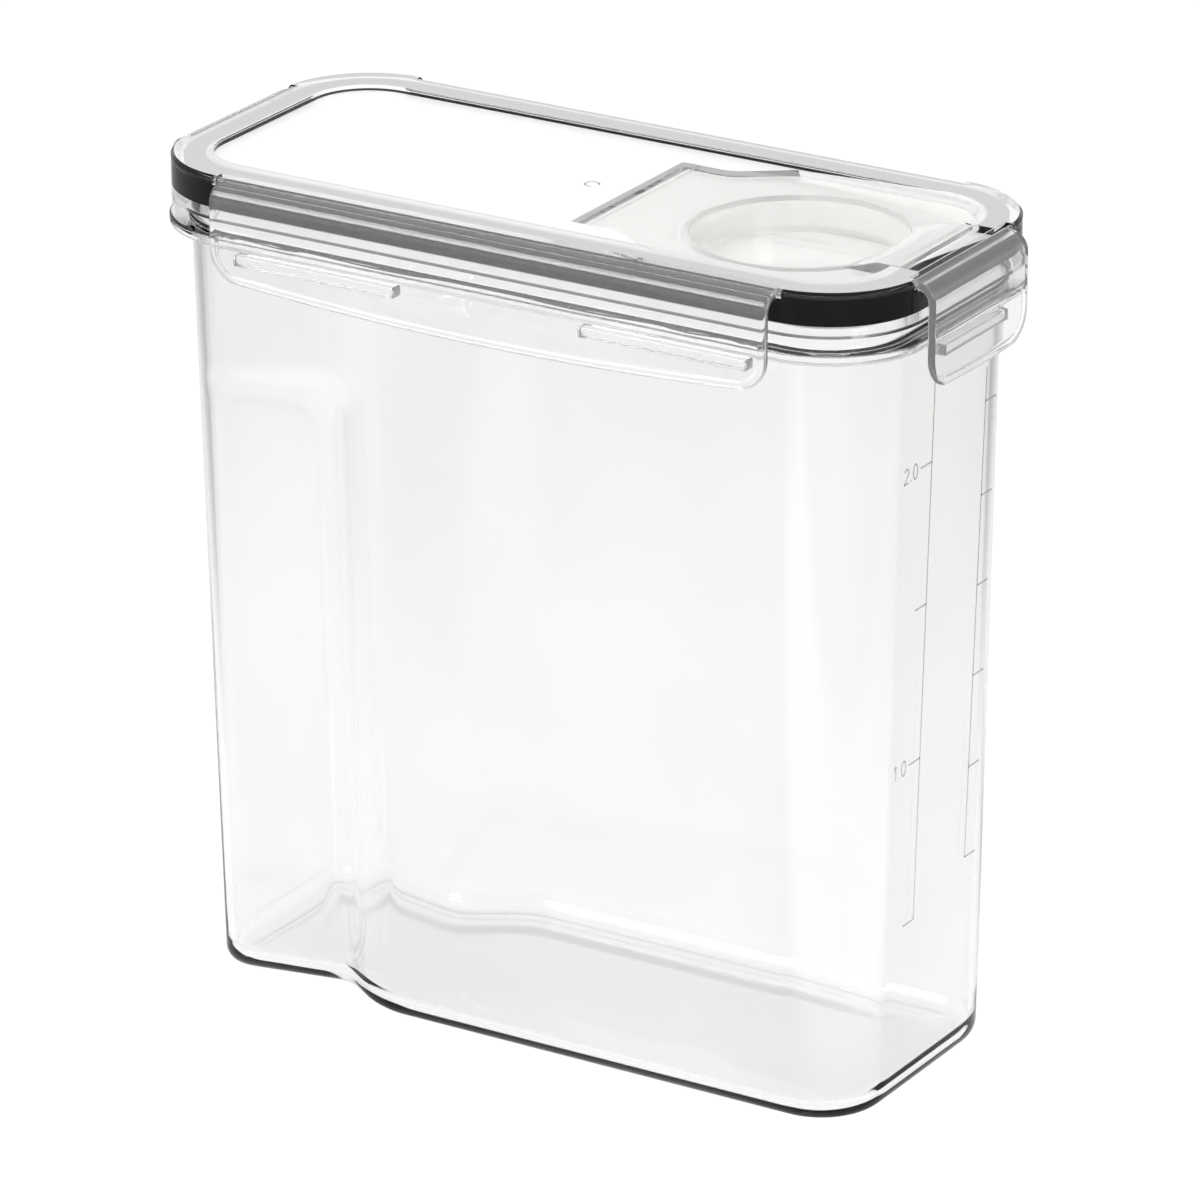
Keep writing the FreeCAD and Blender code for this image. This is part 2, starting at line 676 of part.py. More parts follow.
def build_latch(name, length, bow, hooks, quarter, x, y):
    """One latch: plate, hinge rod that ends in two pins, and hooks that close under the flange.

    It is drawn with the lid's skirt at y = 0 and outwards along -Y, then turned to its side of the lid.
    """
    body = new_body(name)
    shoulder = hinge_level - s.latch_shoulder_drop
    face = new_sketch(body, f"{name}_face_sketch", "XZ_Plane", s.latch_standoff)
    draw_outline(face, latch_face(length, bow, as_size(0), shoulder))
    feature(body, "Pad", f"{name}_face", face, s.latch_plate)
    profile = new_sketch(body, f"{name}_shoulder_sketch", "YZ_Plane")
    web = s.barrel_radius * WEB_SHARE
    slope_start = s.hinge_inset - web * sine(s.shoulder_slope)
    slope_top = hinge_level + web * cosine(s.shoulder_slope)
    slope_fall = (latch_outer + slope_start) * sine(s.shoulder_slope) / cosine(s.shoulder_slope)
    draw_outline(
        profile,
        [
            (-s.latch_standoff, shoulder),
            (-s.latch_standoff, hinge_level - web),
            (s.hinge_inset, hinge_level - web),
            (slope_start, slope_top),
            (-latch_outer, slope_top - slope_fall, s.shoulder_round),
            (-latch_outer, shoulder),
        ],
    )
    feature(body, "Pad", f"{name}_shoulder", profile, length, middle=True)
    rod = new_sketch(body, f"{name}_rod_sketch", "YZ_Plane")
    draw_circle(rod, s.hinge_inset, hinge_level, s.barrel_radius)
    feature(body, "Pad", f"{name}_rod", rod, length + s.latch_pin_length * 2, middle=True)
    panel = new_sketch(body, f"{name}_panel_sketch", "XZ_Plane", latch_outer)
    draw_outline(panel, latch_face(length, bow, s.latch_border, shoulder - s.latch_border))
    feature(body, "Pocket", f"{name}_panel", panel, s.latch_panel_depth)
    hook_top = s.flange_level - s.hook_clearance
    for index, (start, end) in enumerate(hooks, 1):
        hook = new_sketch(body, f"{name}_hook_sketch_{index}", "XZ_Plane", s.latch_standoff)
        draw_outline(hook, rectangle(start, end, hook_top - s.hook_thickness, hook_top))
        feature(body, "Pad", f"{name}_hook_{index}", hook, s.hook_reach, back=True)
    body.Placement = Placement(Vector(0, 0, 0), Rotation(Vector(0, 0, 1), quarter))
    bind(body, "Placement.Base.x", x)
    bind(body, "Placement.Base.y", y)
    document.recompute()
    return body


def build():
    """Makes every piece in turn."""
    hook_outer_end = long_latch_length / 2 - s.hook_end_margin
    long_hooks = [(-hook_outer_end, -s.hook_inner_end), (s.hook_inner_end, hook_outer_end)]
    short_hooks = [(-s.short_hook_half_length, s.short_hook_half_length)]
    end = s.lid_length / 2
    side = s.lid_width / 2
    return [
        build_container(),
        build_lid(),
        build_gasket(),
        build_cap(),
        build_seal(),
        build_latch("front_latch", long_latch_length, s.latch_bow, long_hooks, 0, 0, -side),
        build_latch("back_latch", long_latch_length, s.latch_bow, long_hooks, 180, 0, side),
        build_latch("right_latch", s.short_latch_length, s.short_latch_bow, short_hooks, 90, end, 0),
        build_latch("left_latch", s.short_latch_length, s.short_latch_bow, short_hooks, -90, -end, 0),
    ]


pieces = build()
document.recompute()
failed = [item.Label for item in document.Objects if "Invalid" in item.State or "Error" in item.State]
if failed:
    raise RuntimeError("features failed: " + ", ".join(failed))
for piece in pieces:
    if piece.Shape.isNull() or not piece.Shape.isValid() or len(piece.Shape.Solids) != 1:
        raise RuntimeError("not one sound solid: " + piece.Label)

os.makedirs("parts", exist_ok=True)
for piece in pieces:
    piece.Shape.exportStep(f"parts/{piece.Label}.step")
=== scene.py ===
"""Clear food storage container with a latched pouring lid: its looks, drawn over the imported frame.

Lengths are in metres in the frame's own axes: +X towards the pouring end, +Y to the back, +Z up.
"""
import json
import math

import bpy
import numpy as np
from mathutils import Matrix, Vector


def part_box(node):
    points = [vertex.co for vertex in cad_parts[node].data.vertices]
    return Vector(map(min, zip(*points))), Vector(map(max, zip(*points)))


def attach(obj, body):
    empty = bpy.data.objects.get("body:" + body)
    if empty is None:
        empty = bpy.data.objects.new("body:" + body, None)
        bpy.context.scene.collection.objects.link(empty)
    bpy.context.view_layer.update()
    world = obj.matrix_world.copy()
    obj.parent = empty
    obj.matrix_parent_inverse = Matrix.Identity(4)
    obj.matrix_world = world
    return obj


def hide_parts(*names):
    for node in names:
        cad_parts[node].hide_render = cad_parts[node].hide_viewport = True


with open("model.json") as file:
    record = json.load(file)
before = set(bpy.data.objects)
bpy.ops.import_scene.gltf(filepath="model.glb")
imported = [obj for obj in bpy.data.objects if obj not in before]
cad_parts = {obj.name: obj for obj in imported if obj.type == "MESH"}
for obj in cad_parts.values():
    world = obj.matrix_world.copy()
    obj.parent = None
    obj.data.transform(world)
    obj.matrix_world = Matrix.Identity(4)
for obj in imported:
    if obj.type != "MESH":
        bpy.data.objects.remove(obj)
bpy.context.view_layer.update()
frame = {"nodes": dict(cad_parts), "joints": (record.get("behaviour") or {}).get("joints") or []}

bl_info = {
    "name": "Pouring food container",
    "version": (1, 0, 0),
    "blender": (4, 5, 0),
    "location": "View3D > Sidebar > Container",
    "description": "Draws a clear container with a gasketed lid, fold-down latches and a flip cap",
    "category": "Object",
}

LID_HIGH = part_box("lid")[1]
HINGES = {joint["name"]: joint for joint in frame["joints"]}
MM = 0.001
# Rows closer than this are one row, and points closer than this are one point
SAME_ROW = 1e-6
SAME_POINT = 1e-7
# A face is level or upright by the height of its normal
LEVEL = 0.9
UPRIGHT = 0.5
# Rows of the wall as shares of the grip's height, close together about its crown
WALL_ROWS = np.concatenate([
    np.linspace(0.0, 0.9, 22),
    np.linspace(0.905, 1.1, 26),
    np.linspace(1.12, 1.2, 4),
])
# Radius of a hinge pin as a share of half the flap's thickness
PIN_SHARE = 0.96
# Levels of the scales' ticks, in millimetres, from the top down
NEAR_TICKS = (159.7, 124.6, 86.0, 45.0)
FAR_TICKS = (166.7, 143.4, 120.9, 98.2, 75.0, 51.9)
# Noise of the moulded tone: its scale and detail, and the least and greatest tone
TONE_SCALE = 28.0
TONE_DETAIL = 1.0
TONE_RANGE = (0.975, 1.015)
# Tones of the floor in reflections, from the band's start to its end
MIRRORED_BANDS = [
    (0.0, 0.9), (0.1, 0.1), (0.2, 0.6), (0.3, 0.7), (0.38, 0.1), (0.5, 2.0), (0.85, 2.0), (1.0, 0.4),
]
# Soft lamps: place, width and height in metres, and power in watts
LAMPS = {"key": ((-0.9, -1.0, 1.3), (0.7, 0.7), 10), "fill": ((1.3, -0.5, 0.8), (0.5, 0.9), 5)}
LAMP_AIM = (0, 0, 0.1)


def length(name, description, millimetres):
    """A length property, written in millimetres."""
    return bpy.props.FloatProperty(
        name=name, description=description, default=millimetres * MM, unit="LENGTH", precision=5)


def angle(name, description, degrees):
    """An angle property, written in degrees."""
    default = math.radians(degrees)
    return bpy.props.FloatProperty(name=name, description=description, default=default, subtype="ANGLE")


def number(name, description, value):
    """A plain number property."""
    return bpy.props.FloatProperty(name=name, description=description, default=value)


def colour(name, description, value):
    """A colour property."""
    return bpy.props.FloatVectorProperty(name=name, description=description, default=value, size=3,
                                         subtype="COLOR", min=0.0, max=1.0)


class BodySizes(bpy.types.PropertyGroup):
    """The vessel's walls, flange, neck and hand grips."""

    corner_radius: length("Corner radius", "Plan radius of the lid's corners, which every ring follows", 24.8)
    wall_inset: length("Wall inset", "From the lid's outline in to the wall below the flange", 4.7)
    wall_draft: length("Wall draft", "How much further in the wall is at the foot", 2.8)
    end_lean: length("End lean", "Further draft of the closed end at the foot", 2.9)
    wall: length("Wall", "Wall thickness", 2.0)
    floor: length("Floor", "Floor thickness", 2.2)
    foot_round: length("Foot round", "Outer radius along the foot", 5.0)
    floor_round: length("Floor round", "Inner radius along the floor", 5.5)
    ring_width: length("Foot ring", "Width of the ring that the vessel stands on", 6.0)
    ring_step: length("Foot step", "Height of the underside inside the foot ring", 0.1)
    ring_slope: length("Foot slope", "Width of the slope from the foot ring to the underside", 6.0)
    flange_level: length("Flange level", "Height of the flange's underside", 192.6)
    flange_thickness: length("Flange", "Flange thickness", 2.4)
    flange_overhang: length("Flange overhang", "How far the flange stands out past the lid's outline", 0.6)
    neck_height: length("Neck", "Height of the neck above the flange", 9.3)
    edge_round: length("Edge round", "Radius of the flange's and neck's edges", 0.7)
    grip_inset: length("Grip inset", "From the lid's closed end to the deepest part of a grip", 43.0)
    grip_depth: length("Grip depth", "Depth of a grip at the foot", 9.1)
    grip_edge: length("Grip edge", "From the deepest line to the foot of the flank", 3.7)
    crown_drop: length("Crown drop", "From the flange down to the top of a grip's floor", 38.1)
    grip_yaw: angle("Grip yaw", "Turn of a grip's floor about the upright", 11.2)
    grip_lean: angle("Grip lean", "Turn of a grip's floor about the long axis", 1.97)
    flank_angle: angle("Flank angle", "Slope of a grip's flank from its floor", 45.0)
    brow_blend: length("Brow blend", "Softness of the edge between wall and grip", 4.2)
    root_blend: length("Root blend", "Softness of the fold between flank and floor", 4.2)
    bend_blend: length("Bend blend", "Softness of the turn from flank to crown", 9.0)


class MarkSizes(bpy.types.PropertyGroup):
    """The scales moulded on the pouring end's wall and the gate mark on the lid."""

    line_width: length("Line width", "Width of a raised line", 0.45)
    line_height: length("Line height", "How far a raised line stands out", 0.16)
    tick: length("Tick", "Length of a scale's ticks", 5.0)
    numeral: length("Numeral", "Height of the numerals", 3.6)
    near_top: length("Near top", "Distance of the near scale's line from the middle at its top", 5.5)
    near_low: length("Near foot", "Distance of the near scale's line from the middle at its foot", 8.5)
    near_high: length("Near high", "Level of the near scale's upper end", 181.0)
    near_first: length("Near low", "Level of the near scale's lower end", 45.0)
    far_top: length("Far top", "Distance of the far scale's line from the middle at its top", 19.4)
    far_low: length("Far foot", "Distance of the far scale's line from the middle at its foot", 15.9)
    far_high: length("Far high", "Level of the far scale's upper end", 175.0)
    far_first: length("Far low", "Level of the far scale's lower end", 51.9)
    label_gap: length("Label gap", "From the end of a tick to its numeral", 1.35)
    gate_radius: length("Gate radius", "Radius of the gate mark", 1.7)
    gate_start: angle("Gate start", "Where the gate mark's arc starts", 20)
    gate_end: angle("Gate end", "Where the gate mark's arc ends", 290)


class LidSizes(bpy.types.PropertyGroup):
    """Where the lid's faces change from clear to milky, to a milky white that paints the highlight along the
    rim's top, and to a dark tint that paints shade on the tray's upright edges.
    """

    clear_inset: length("Clear rim", "Width of the rim that stays clear", 7.2)
    # Level faces within this depth of the top form the rim's top, made milky white as a painted highlight
    rim_highlight_depth: length("Top edge", "Depth within which a level face belongs to the rim's top", 0.1)
    panel_depth: length("Panel depth", "Depth below which the plug wall turns milky", 1.6)
    # Upright tray faces within this inset and depth get the dark edge tint, which is painted shade
    tray_inset: length("Tray inset", "Inset from which upright faces belong to the tray", 10.6)
    tray_depth: length("Tray depth", "Depth down to which they do", 5.0)


class LatchSizes(bpy.types.PropertyGroup):
    """The fold-down latches."""

    thickness: length("Thickness", "Thickness of the flap", 1.9)
    standoff: length("Standoff", "Gap between the lid's skirt and the flap", 2.1)
    reach: length("Reach", "From the hinge down to the lowest point", 25.75)
    long_length: length("Long flap", "Length of the front and back flaps", 151.6)
    long_bow: length("Long bow", "Rise of the lower edge towards the ends of a long flap", 3.2)
    short_length: length("Short flap", "Length of the end flaps", 45.0)
    short_bow: length("Short bow", "Rise of the lower edge towards the ends of a short flap", 0.8)
    corner: length("Corner", "Radius of the lower corners", 7.5)
    slope: angle("Slope", "Fall of the shoulder from the hinge", 18.0)
    shoulder_cut: length("Shoulder", "From the shoulder's corner to the ends of its round", 2.9)
    border: length("Border", "Width of the raised border", 2.3)
    recess: length("Recess", "Depth of the face inside the border", 0.5)
    recess_drop: length("Recess drop", "From the hinge down to the top of the sunk face", 10.1)
    hinge_inset: length("Hinge inset", "From the lid's outline in to the hinge", 1.4)
    pin_length: length("Pin", "How far the hinge pins stand out of the ends", 1.2)
    hook_reach: length("Hook reach", "How far a hook runs in from the flap", 3.5)
    hook_top: length("Hook top", "Height of the hooks' upper face", 192.4)
    hook_thickness: length("Hook", "Height of a hook", 2.8)
    hook_start: length("Hook start", "From the middle of a long flap to a hook's near end", 25.0)
    hook_end: length("Hook end", "From the middle of a long flap to a hook's far end", 70.0)
    short_hook: length("Short hook", "Half the length of a short flap's hook", 15.0)
    hook_gap: length("Hook gap", "Hair gap that draws a hook's outline behind the flap", 0.02)
    hook_round: length("Hook round", "Radius along a hook", 0.5)
    hook_edge: length("Hook edge", "Edge at a hook's ends", 0.4)
    pin_edge: length("Pin edge", "Edge at a pin's ends", 0.15)


class RingSizes(bpy.types.PropertyGroup):
    """The two sealing rings."""

    gasket_round: length("Gasket round", "Edge radius of the black gasket", 0.4)
    gasket_inset: length("Gasket inset", "From the lid's outline in to the gasket's inner face", 8.35)
    contact: length("Contact", "How far the gasket presses into the lid, so that no air shows between", 0.12)
    gasket_gap: length("Gasket gap", "Clearance between the gasket and the neck", 0.05)
    seal_wall: length("Seal wall", "Thickness of the white seal at its lower end", 1.0)
    seal_flare: length("Seal flare", "How far the seal's upper lip flares out", 0.5)
    seal_round: length("Seal round", "Edge radius of the white seal", 0.25)


class Finishes(bpy.types.PropertyGroup):
    """Colours and gloss of the materials. Some are painted light: the rim top's milky white is a painted
    highlight, and the dark tint of upright edges and the grey of the raised marks are painted shade.
    """

    body: colour("Body", "Tint of the vessel", (0.957, 0.955, 0.95))
    lid: colour("Lid", "Tint of the lid's clear rim", (0.98, 0.98, 0.978))
    panel: colour("Panel", "Tint of the lid's panel", (0.985, 0.985, 0.98))
    # Milky white on the rim's top: a painted highlight for the bright line along it
    rim: colour("Rim top", "Tint of the rim's top", (0.95, 0.95, 0.95))
    cap: colour("Cap", "Tint of the flip cap", (0.93, 0.925, 0.915))
    # Dark grey tint on upright edges: painted shade that draws their outlines
    edge: colour("Edges", "Tint of the cap's and tray's upright edges", (0.4, 0.4, 0.4))
    latch: colour("Latches", "Tint of the latches", (0.95, 0.955, 0.957))
    # Grey tints of the raised scale lines and the gate mark: painted shade
    marks: colour("Scales", "Tint of the scales' lines", (0.6, 0.6, 0.6))
    gate_mark_shade: colour("Gate", "Tint of the gate mark", (0.75, 0.75, 0.75))
    gasket: colour("Gasket", "Colour of the lid's gasket", (0.004, 0.004, 0.005))
    seal: colour("Seal", "Colour of the cap's seal", (0.98, 0.98, 0.98))
    clear_index: number("Index", "Refractive index of the plastic", 1.5)
    clear_roughness: number("Polish", "Roughness of the clear plastic", 0.015)
    clear_shadow: number("Clear shadow", "Light that one wall lets through to the shadow", 0.965)
    lid_gleam: number("Lid gleam", "Reflectance of the lid's clear rim", 0.2)
    panel_milk: number("Panel milk", "Milkiness of the panel", 0.75)
    # Milkiness that whitens the rim's top as a painted highlight
    rim_highlight_milk: number("Rim milk", "Milkiness of the rim's top", 0.6)
    cap_milk: number("Cap milk", "Milkiness of the cap", 0.35)
    latch_milk: number("Latch milk", "Milkiness of the latches", 0.05)
    gasket_roughness: number("Gasket roughness", "Roughness of the gasket", 0.5)
    gasket_gloss: number("Gasket gloss", "Specular level of the gasket", 0.1)
    seal_roughness: number("Seal roughness", "Roughness of the seal", 0.45)
    seal_gloss: number("Seal gloss", "Specular level of the seal", 0.5)


class StageSettings(bpy.types.PropertyGroup):
    """Camera, floor and light."""

    azimuth: angle("Azimuth", "Camera's turn about the container", 31.44543)
    elevation: angle("Elevation", "Camera's height above the horizon", 21.61518)
    distance: length("Distance", "From the camera to its aim", 1919.0)
    aim_x: length("Aim along", "Camera's aim along the container", 2.15)
    aim_z: length("Aim height", "Height of the camera's aim", 104.07)
    lens: number("Lens", "Focal length in millimetres", 240.59)
    sensor: number("Sensor", "Width of the camera's sensor in millimetres", 36)
    far_clip: length("Far clip", "How far the camera sees", 100000)
    sky: number("Upper tone", "Tone of the upper studio through the plastic", 0.4)
    zenith: number("Zenith tone", "Tone straight above through the plastic", 0.8)
    gloss_sky: number("Mirrored tone", "Tone of the upper studio in reflections", 0.55)
    gloss_horizon: number("Mirrored horizon", "Tone of the horizon in reflections", 0.9)
    daylight: number("Daylight", "Level of the even light", 0.95)
    floor_drop: length("Floor drop", "Gap below the container", 0.2)
    floor_reach: length("Floor reach", "Half the floor's width", 6000)
    floor_grey: number("Floor grey", "Tone of the floor without its glow", 0.25)
    floor_glow: number("Floor glow", "Glow of the floor", 0.77)
    floor_side: number("Side glow", "Glow beside the white strip", 0.25)
    strip_half: length("Strip", "Half the width of the white strip", 160)
    strip_end: length("Strip end", "Where the floor's sides have their full grey", 400)
    band_start: length("Band start", "Where the mirrored floor's tones begin, across the mirrored view", -60)
    band_end: length("Band end", "Where the mirrored floor's tones end", 340)


def grid_faces(rows, columns, closed_rows=False, closed_columns=False):
    """Quads over a grid of points, in order row by row, joined end to start where a direction is closed."""
    row = np.arange(rows if closed_rows else rows - 1)[:, None]
    column = np.arange(columns if closed_columns else columns - 1)[None, :]
    below = (row + 1) % rows
    right = (column + 1) % columns
    start, end = row * columns, below * columns
    corners = (start + column, start + right, end + right, end + column)
    shape = (row.size, column.size)
    return np.stack([np.broadcast_to(corner, shape) for corner in corners], -1).reshape(-1, 4)


def join(*shapes):
    """One shape from several: each is its points with a list of face arrays."""
    points = []
    faces = []
    start = 0
    for shape_points, shape_faces in shapes:
        points.append(shape_points)
        faces.extend(np.asarray(face) + start for face in shape_faces)
        start += len(shape_points)
    return np.concatenate(points), faces


def outward(points, faces):
    """Faces turned outwards: the signed volume, summed over each face's triangles, comes out positive."""
    volume = 0.0
    for group in faces:
        group = np.atleast_2d(group)
        first = points[group[:, :1]]
        second = points[group[:, 1:-1]]
        third = points[group[:, 2:]]
        volume += np.einsum("ijk,ijk->", np.broadcast_to(first, second.shape), np.cross(second, third))
    return faces if volume > 0 else [np.atleast_2d(group)[:, ::-1] for group in faces]


def add_piece(name, shape, body, material, nodes=(), sharp=35.0):
    """Puts a shape into a smooth-shaded piece that rides a body and may stand for CAD nodes."""
    points, faces = shape
    mesh = bpy.data.meshes.new(name)
    polygons = [polygon for group in faces for polygon in np.atleast_2d(group).tolist()]
    mesh.from_pydata(points.tolist(), [], polygons)
    mesh.polygons.foreach_set("use_smooth", np.ones(len(mesh.polygons), dtype=bool))
    mesh.set_sharp_from_angle(angle=math.radians(sharp))
    mesh.materials.append(material)
    piece = bpy.data.objects.new(name, mesh)
    bpy.context.scene.collection.objects.link(piece)
    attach(piece, body)
    if nodes:
        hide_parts(*nodes)
    return piece


def smooth_copy(node, name, body, material):
    """A node's own surface, its loose triangles joined and its normals weighed by face area."""
    mesh = frame["nodes"][node].data
    points = np.empty(len(mesh.vertices) * 3)
    mesh.vertices.foreach_get("co", points)
    corners = np.empty(len(mesh.loops), dtype=np.int32)
    mesh.loops.foreach_get("vertex_index", corners)
    places, index = np.unique(np.round(points.reshape(-1, 3) / MM, 3), axis=0, return_inverse=True)
    triangles = index.reshape(-1)[corners].reshape(-1, 3)
    whole = (triangles != np.roll(triangles, 1, 1)).all(1)
    piece = add_piece(name, (places * MM, [triangles[whole]]), body, material, [node], sharp=24.0)
    weighted = piece.modifiers.new("weighted_normals", "WEIGHTED_NORMAL")
    weighted.keep_sharp = True
    weighted.weight = 100
    return piece


def faces_of(piece):
    """Centres and normals of a piece's faces."""
    polygons = piece.data.polygons
    centres = np.empty(len(polygons) * 3)
    normals = np.empty(len(polygons) * 3)
    polygons.foreach_get("center", centres)
    polygons.foreach_get("normal", normals)
    return centres.reshape(-1, 3), normals.reshape(-1, 3)


def soft_corners(corners, cuts, steps=5):
    """A closed polyline whose corners are quadratic curves from a cut before to a cut after each corner."""
    corners = np.asarray(corners, dtype=float)
    cuts = np.broadcast_to(np.asarray(cuts, dtype=float), len(corners))[:, None]
    before = np.roll(corners, 1, 0) - corners
    after = np.roll(corners, -1, 0) - corners
    start = corners + before / np.linalg.norm(before, axis=1, keepdims=True) * cuts
    end = corners + after / np.linalg.norm(after, axis=1, keepdims=True) * cuts
    t = np.linspace(0, 1, steps + 1)[None, :, None]
    curve = (1 - t) ** 2 * start[:, None] + 2 * t * (1 - t) * corners[:, None] + t ** 2 * end[:, None]
    return curve.reshape(-1, 2)


def lid_ring(radius, arc_steps, long_steps, short_steps):
    """Points and outward normals round the lid's rounded rectangle, anticlockwise from its +X side.

    Each corner is a quarter circle about its centre, and each side runs straight to the next corner.
    """
    half = np.array([LID_HIGH[0], LID_HIGH[1]])
    points = []
    normals = []
    signs = np.array([(1, 1), (-1, 1), (-1, -1), (1, -1)])
    centres = signs * (half - radius)
    for quarter in range(4):
        turn = np.linspace(0, math.pi / 2, arc_steps + 1) + quarter * math.pi / 2
        arc = np.stack([np.cos(turn), np.sin(turn)], -1)
        reach = centres[quarter] + radius * arc
        next_start = centres[(quarter + 1) % 4] + radius * arc[-1]
        steps = long_steps if quarter % 2 == 0 else short_steps
        share = np.linspace(0, 1, steps + 1)[1:-1, None]
        points += [reach, reach[-1] * (1 - share) + next_start * share]
        normals += [arc, np.broadcast_to(arc[-1], (steps - 1, 2))]
    return np.concatenate(points), np.concatenate(normals)


def smooth_max(a, b, blend):
    """The larger of two values, blended by a parabola where they differ by less than the blend."""
    near = np.clip(blend - np.abs(a - b), 0, None)
    return np.maximum(a, b) + near ** 2 / (4 * blend)


def grip_limit(sizes, x, z, inset):
    """How far from the middle plane the grip lets the wall reach at each (x, z), for a wall at an inset.

    It is the blended maximum of three planes, solved for y: the floor, turned by a yaw and a lean, and the
    flank and the crown, which rise from the floor at the flank angle.
    """
    yaw, lean, flank = sizes.grip_yaw, sizes.grip_lean, math.tan(sizes.flank_angle)
    shift = inset * math.tan(sizes.flank_angle / 2)
    base = LID_HIGH[1] - sizes.wall_inset - sizes.wall_draft - sizes.grip_depth - inset
    along = x + LID_HIGH[0] - sizes.grip_inset
    crown = sizes.flange_level - sizes.crown_drop + shift
    edge = sizes.grip_edge + shift
    tilt = math.sin(lean) * z - math.sin(yaw) * math.cos(lean) * along
    square = math.cos(yaw) * math.cos(lean)
    floor = tilt / square
    side = (tilt + (math.cos(yaw) * along - edge) / flank) / (square + math.sin(yaw) / flank)
    rise = math.sin(yaw) * math.sin(lean) * along + math.cos(lean) * z - crown
    top = (tilt + rise / flank) / (square - math.cos(yaw) * math.sin(lean) / flank)
    slopes = smooth_max(side, top, sizes.bend_blend)
    return base + smooth_max(floor, slopes, sizes.root_blend)


def vessel_rows(sizes, ring, normals, levels, insets):
    """Rings of the vessel's wall: the lid's outline, moved in by the draft and an inset at each level.

    The closed end leans in towards the foot, and both long walls stay inside the grip's limit.
    """
    levels = levels[:, None]
    insets = insets[:, None]
    rise = levels / sizes.flange_level
    draft = sizes.wall_inset + sizes.wall_draft * (1 - rise) + insets
    x = ring[None, :, 0] - draft * normals[None, :, 0]
    y = ring[None, :, 1] - draft * normals[None, :, 1]
    straight = LID_HIGH[0] - sizes.corner_radius
    share = np.clip((straight - ring[None, :, 0]) / (2 * straight), 0, 1)
    x = x + sizes.end_lean * np.clip(1 - rise, 0, None) * share
    limit = grip_limit(sizes, x, levels, insets)
    y = -np.sign(y) * smooth_max(-np.abs(y), -limit, sizes.brow_blend)
    return np.stack([x, y, np.broadcast_to(levels, x.shape)], -1)


def vessel_shape(sizes):
    """The whole vessel as rings: from its floor up inside, over the neck and flange, and down outside."""
    ring, normals = lid_ring(sizes.corner_radius, arc_steps=20, long_steps=116, short_steps=20)
    top = sizes.flange_level + sizes.flange_thickness
    neck = top + sizes.neck_height
    crown = sizes.flange_level - sizes.crown_drop
    quarter = np.linspace(math.pi / 2, 0, 9)
    inner_wall = np.minimum(WALL_ROWS * crown + sizes.floor + sizes.floor_round, sizes.flange_level)
    inner_levels = [sizes.floor + sizes.floor_round * (1 - np.sin(quarter)), inner_wall]
    floor_insets = sizes.wall + sizes.floor_round * (1 - np.cos(quarter))
    inner_insets = [floor_insets, np.full(WALL_ROWS.size, sizes.wall)]

    def draft(level):
        """Inset of the wall's outside at a level."""
        return sizes.wall_inset + sizes.wall_draft * (1 - level / sizes.flange_level)

    rim = soft_corners(
        [
            (draft(neck) + sizes.wall, sizes.flange_level),
            (draft(neck) + sizes.wall, neck),
            (sizes.wall_inset, neck),
            (sizes.wall_inset, top),
            (-sizes.flange_overhang, top),
            (-sizes.flange_overhang, sizes.flange_level),
            (sizes.wall_inset, sizes.flange_level),
            (sizes.wall_inset, sizes.flange_level - sizes.neck_height),
        ],
        sizes.edge_round,
    ).reshape(8, -1, 2)[1:7].reshape(-1, 2)
    below_flange = sizes.flange_level - 2 * sizes.edge_round
    outer_levels = np.clip(WALL_ROWS[::-1] * crown + sizes.foot_round, sizes.foot_round, below_flange)
    foot = quarter[::-1]
    ring_inset = sizes.foot_round + sizes.ring_width
    step = np.linspace(0, 1, 13)
    levels = np.concatenate([
        *inner_levels, rim[:, 1], outer_levels, sizes.foot_round * (1 - np.sin(foot)),
        sizes.ring_step * step ** 2 * (3 - 2 * step),
    ])
    insets = np.concatenate([
        *inner_insets, rim[:, 0] - draft(rim[:, 1]), np.zeros(outer_levels.size),
        sizes.foot_round * (1 - np.cos(foot)),
        ring_inset + step * sizes.ring_slope,
    ])
    fresh = np.concatenate([[True], np.hypot(np.diff(levels), np.diff(insets)) > SAME_ROW])
    points = vessel_rows(sizes, ring, normals, levels[fresh], insets[fresh])
    rows, columns = points.shape[:2]
    first = np.arange(columns)
    last = first + (rows - 1) * columns
    faces = [grid_faces(rows, columns, closed_columns=True), first[None, ::-1], last[None]]
    points = points.reshape(-1, 3)
    return points, outward(points, faces)


def swept_ring(profile, radius, arc_steps=24, long_steps=4, short_steps=4):
    """A closed profile of (inset, level) carried round the lid's outline."""
    ring, normals = lid_ring(radius, arc_steps, long_steps, short_steps)
    plan = ring[None] - profile[:, :1, None] * normals[None]
    points = np.concatenate([plan, np.broadcast_to(profile[:, 1:, None], (*plan.shape[:2], 1))], -1)
    faces = [grid_faces(*plan.shape[:2], closed_rows=True, closed_columns=True)]
    points = points.reshape(-1, 3)
    return points, outward(points, faces)


def turned_ring(profile, centre, steps=96):
    """A closed profile of (radius, level) turned about an upright through a centre."""
    turn = np.linspace(0, 2 * math.pi, steps, endpoint=False)
    circle = np.stack([np.cos(turn), np.sin(turn)], -1)
    plan = centre + profile[:, :1, None] * circle[None]
    points = np.concatenate([plan, np.broadcast_to(profile[:, 1:, None], (*plan.shape[:2], 1))], -1)
    faces = [grid_faces(*plan.shape[:2], closed_rows=True, closed_columns=True)]
    points = points.reshape(-1, 3)
    return points, outward(points, faces)


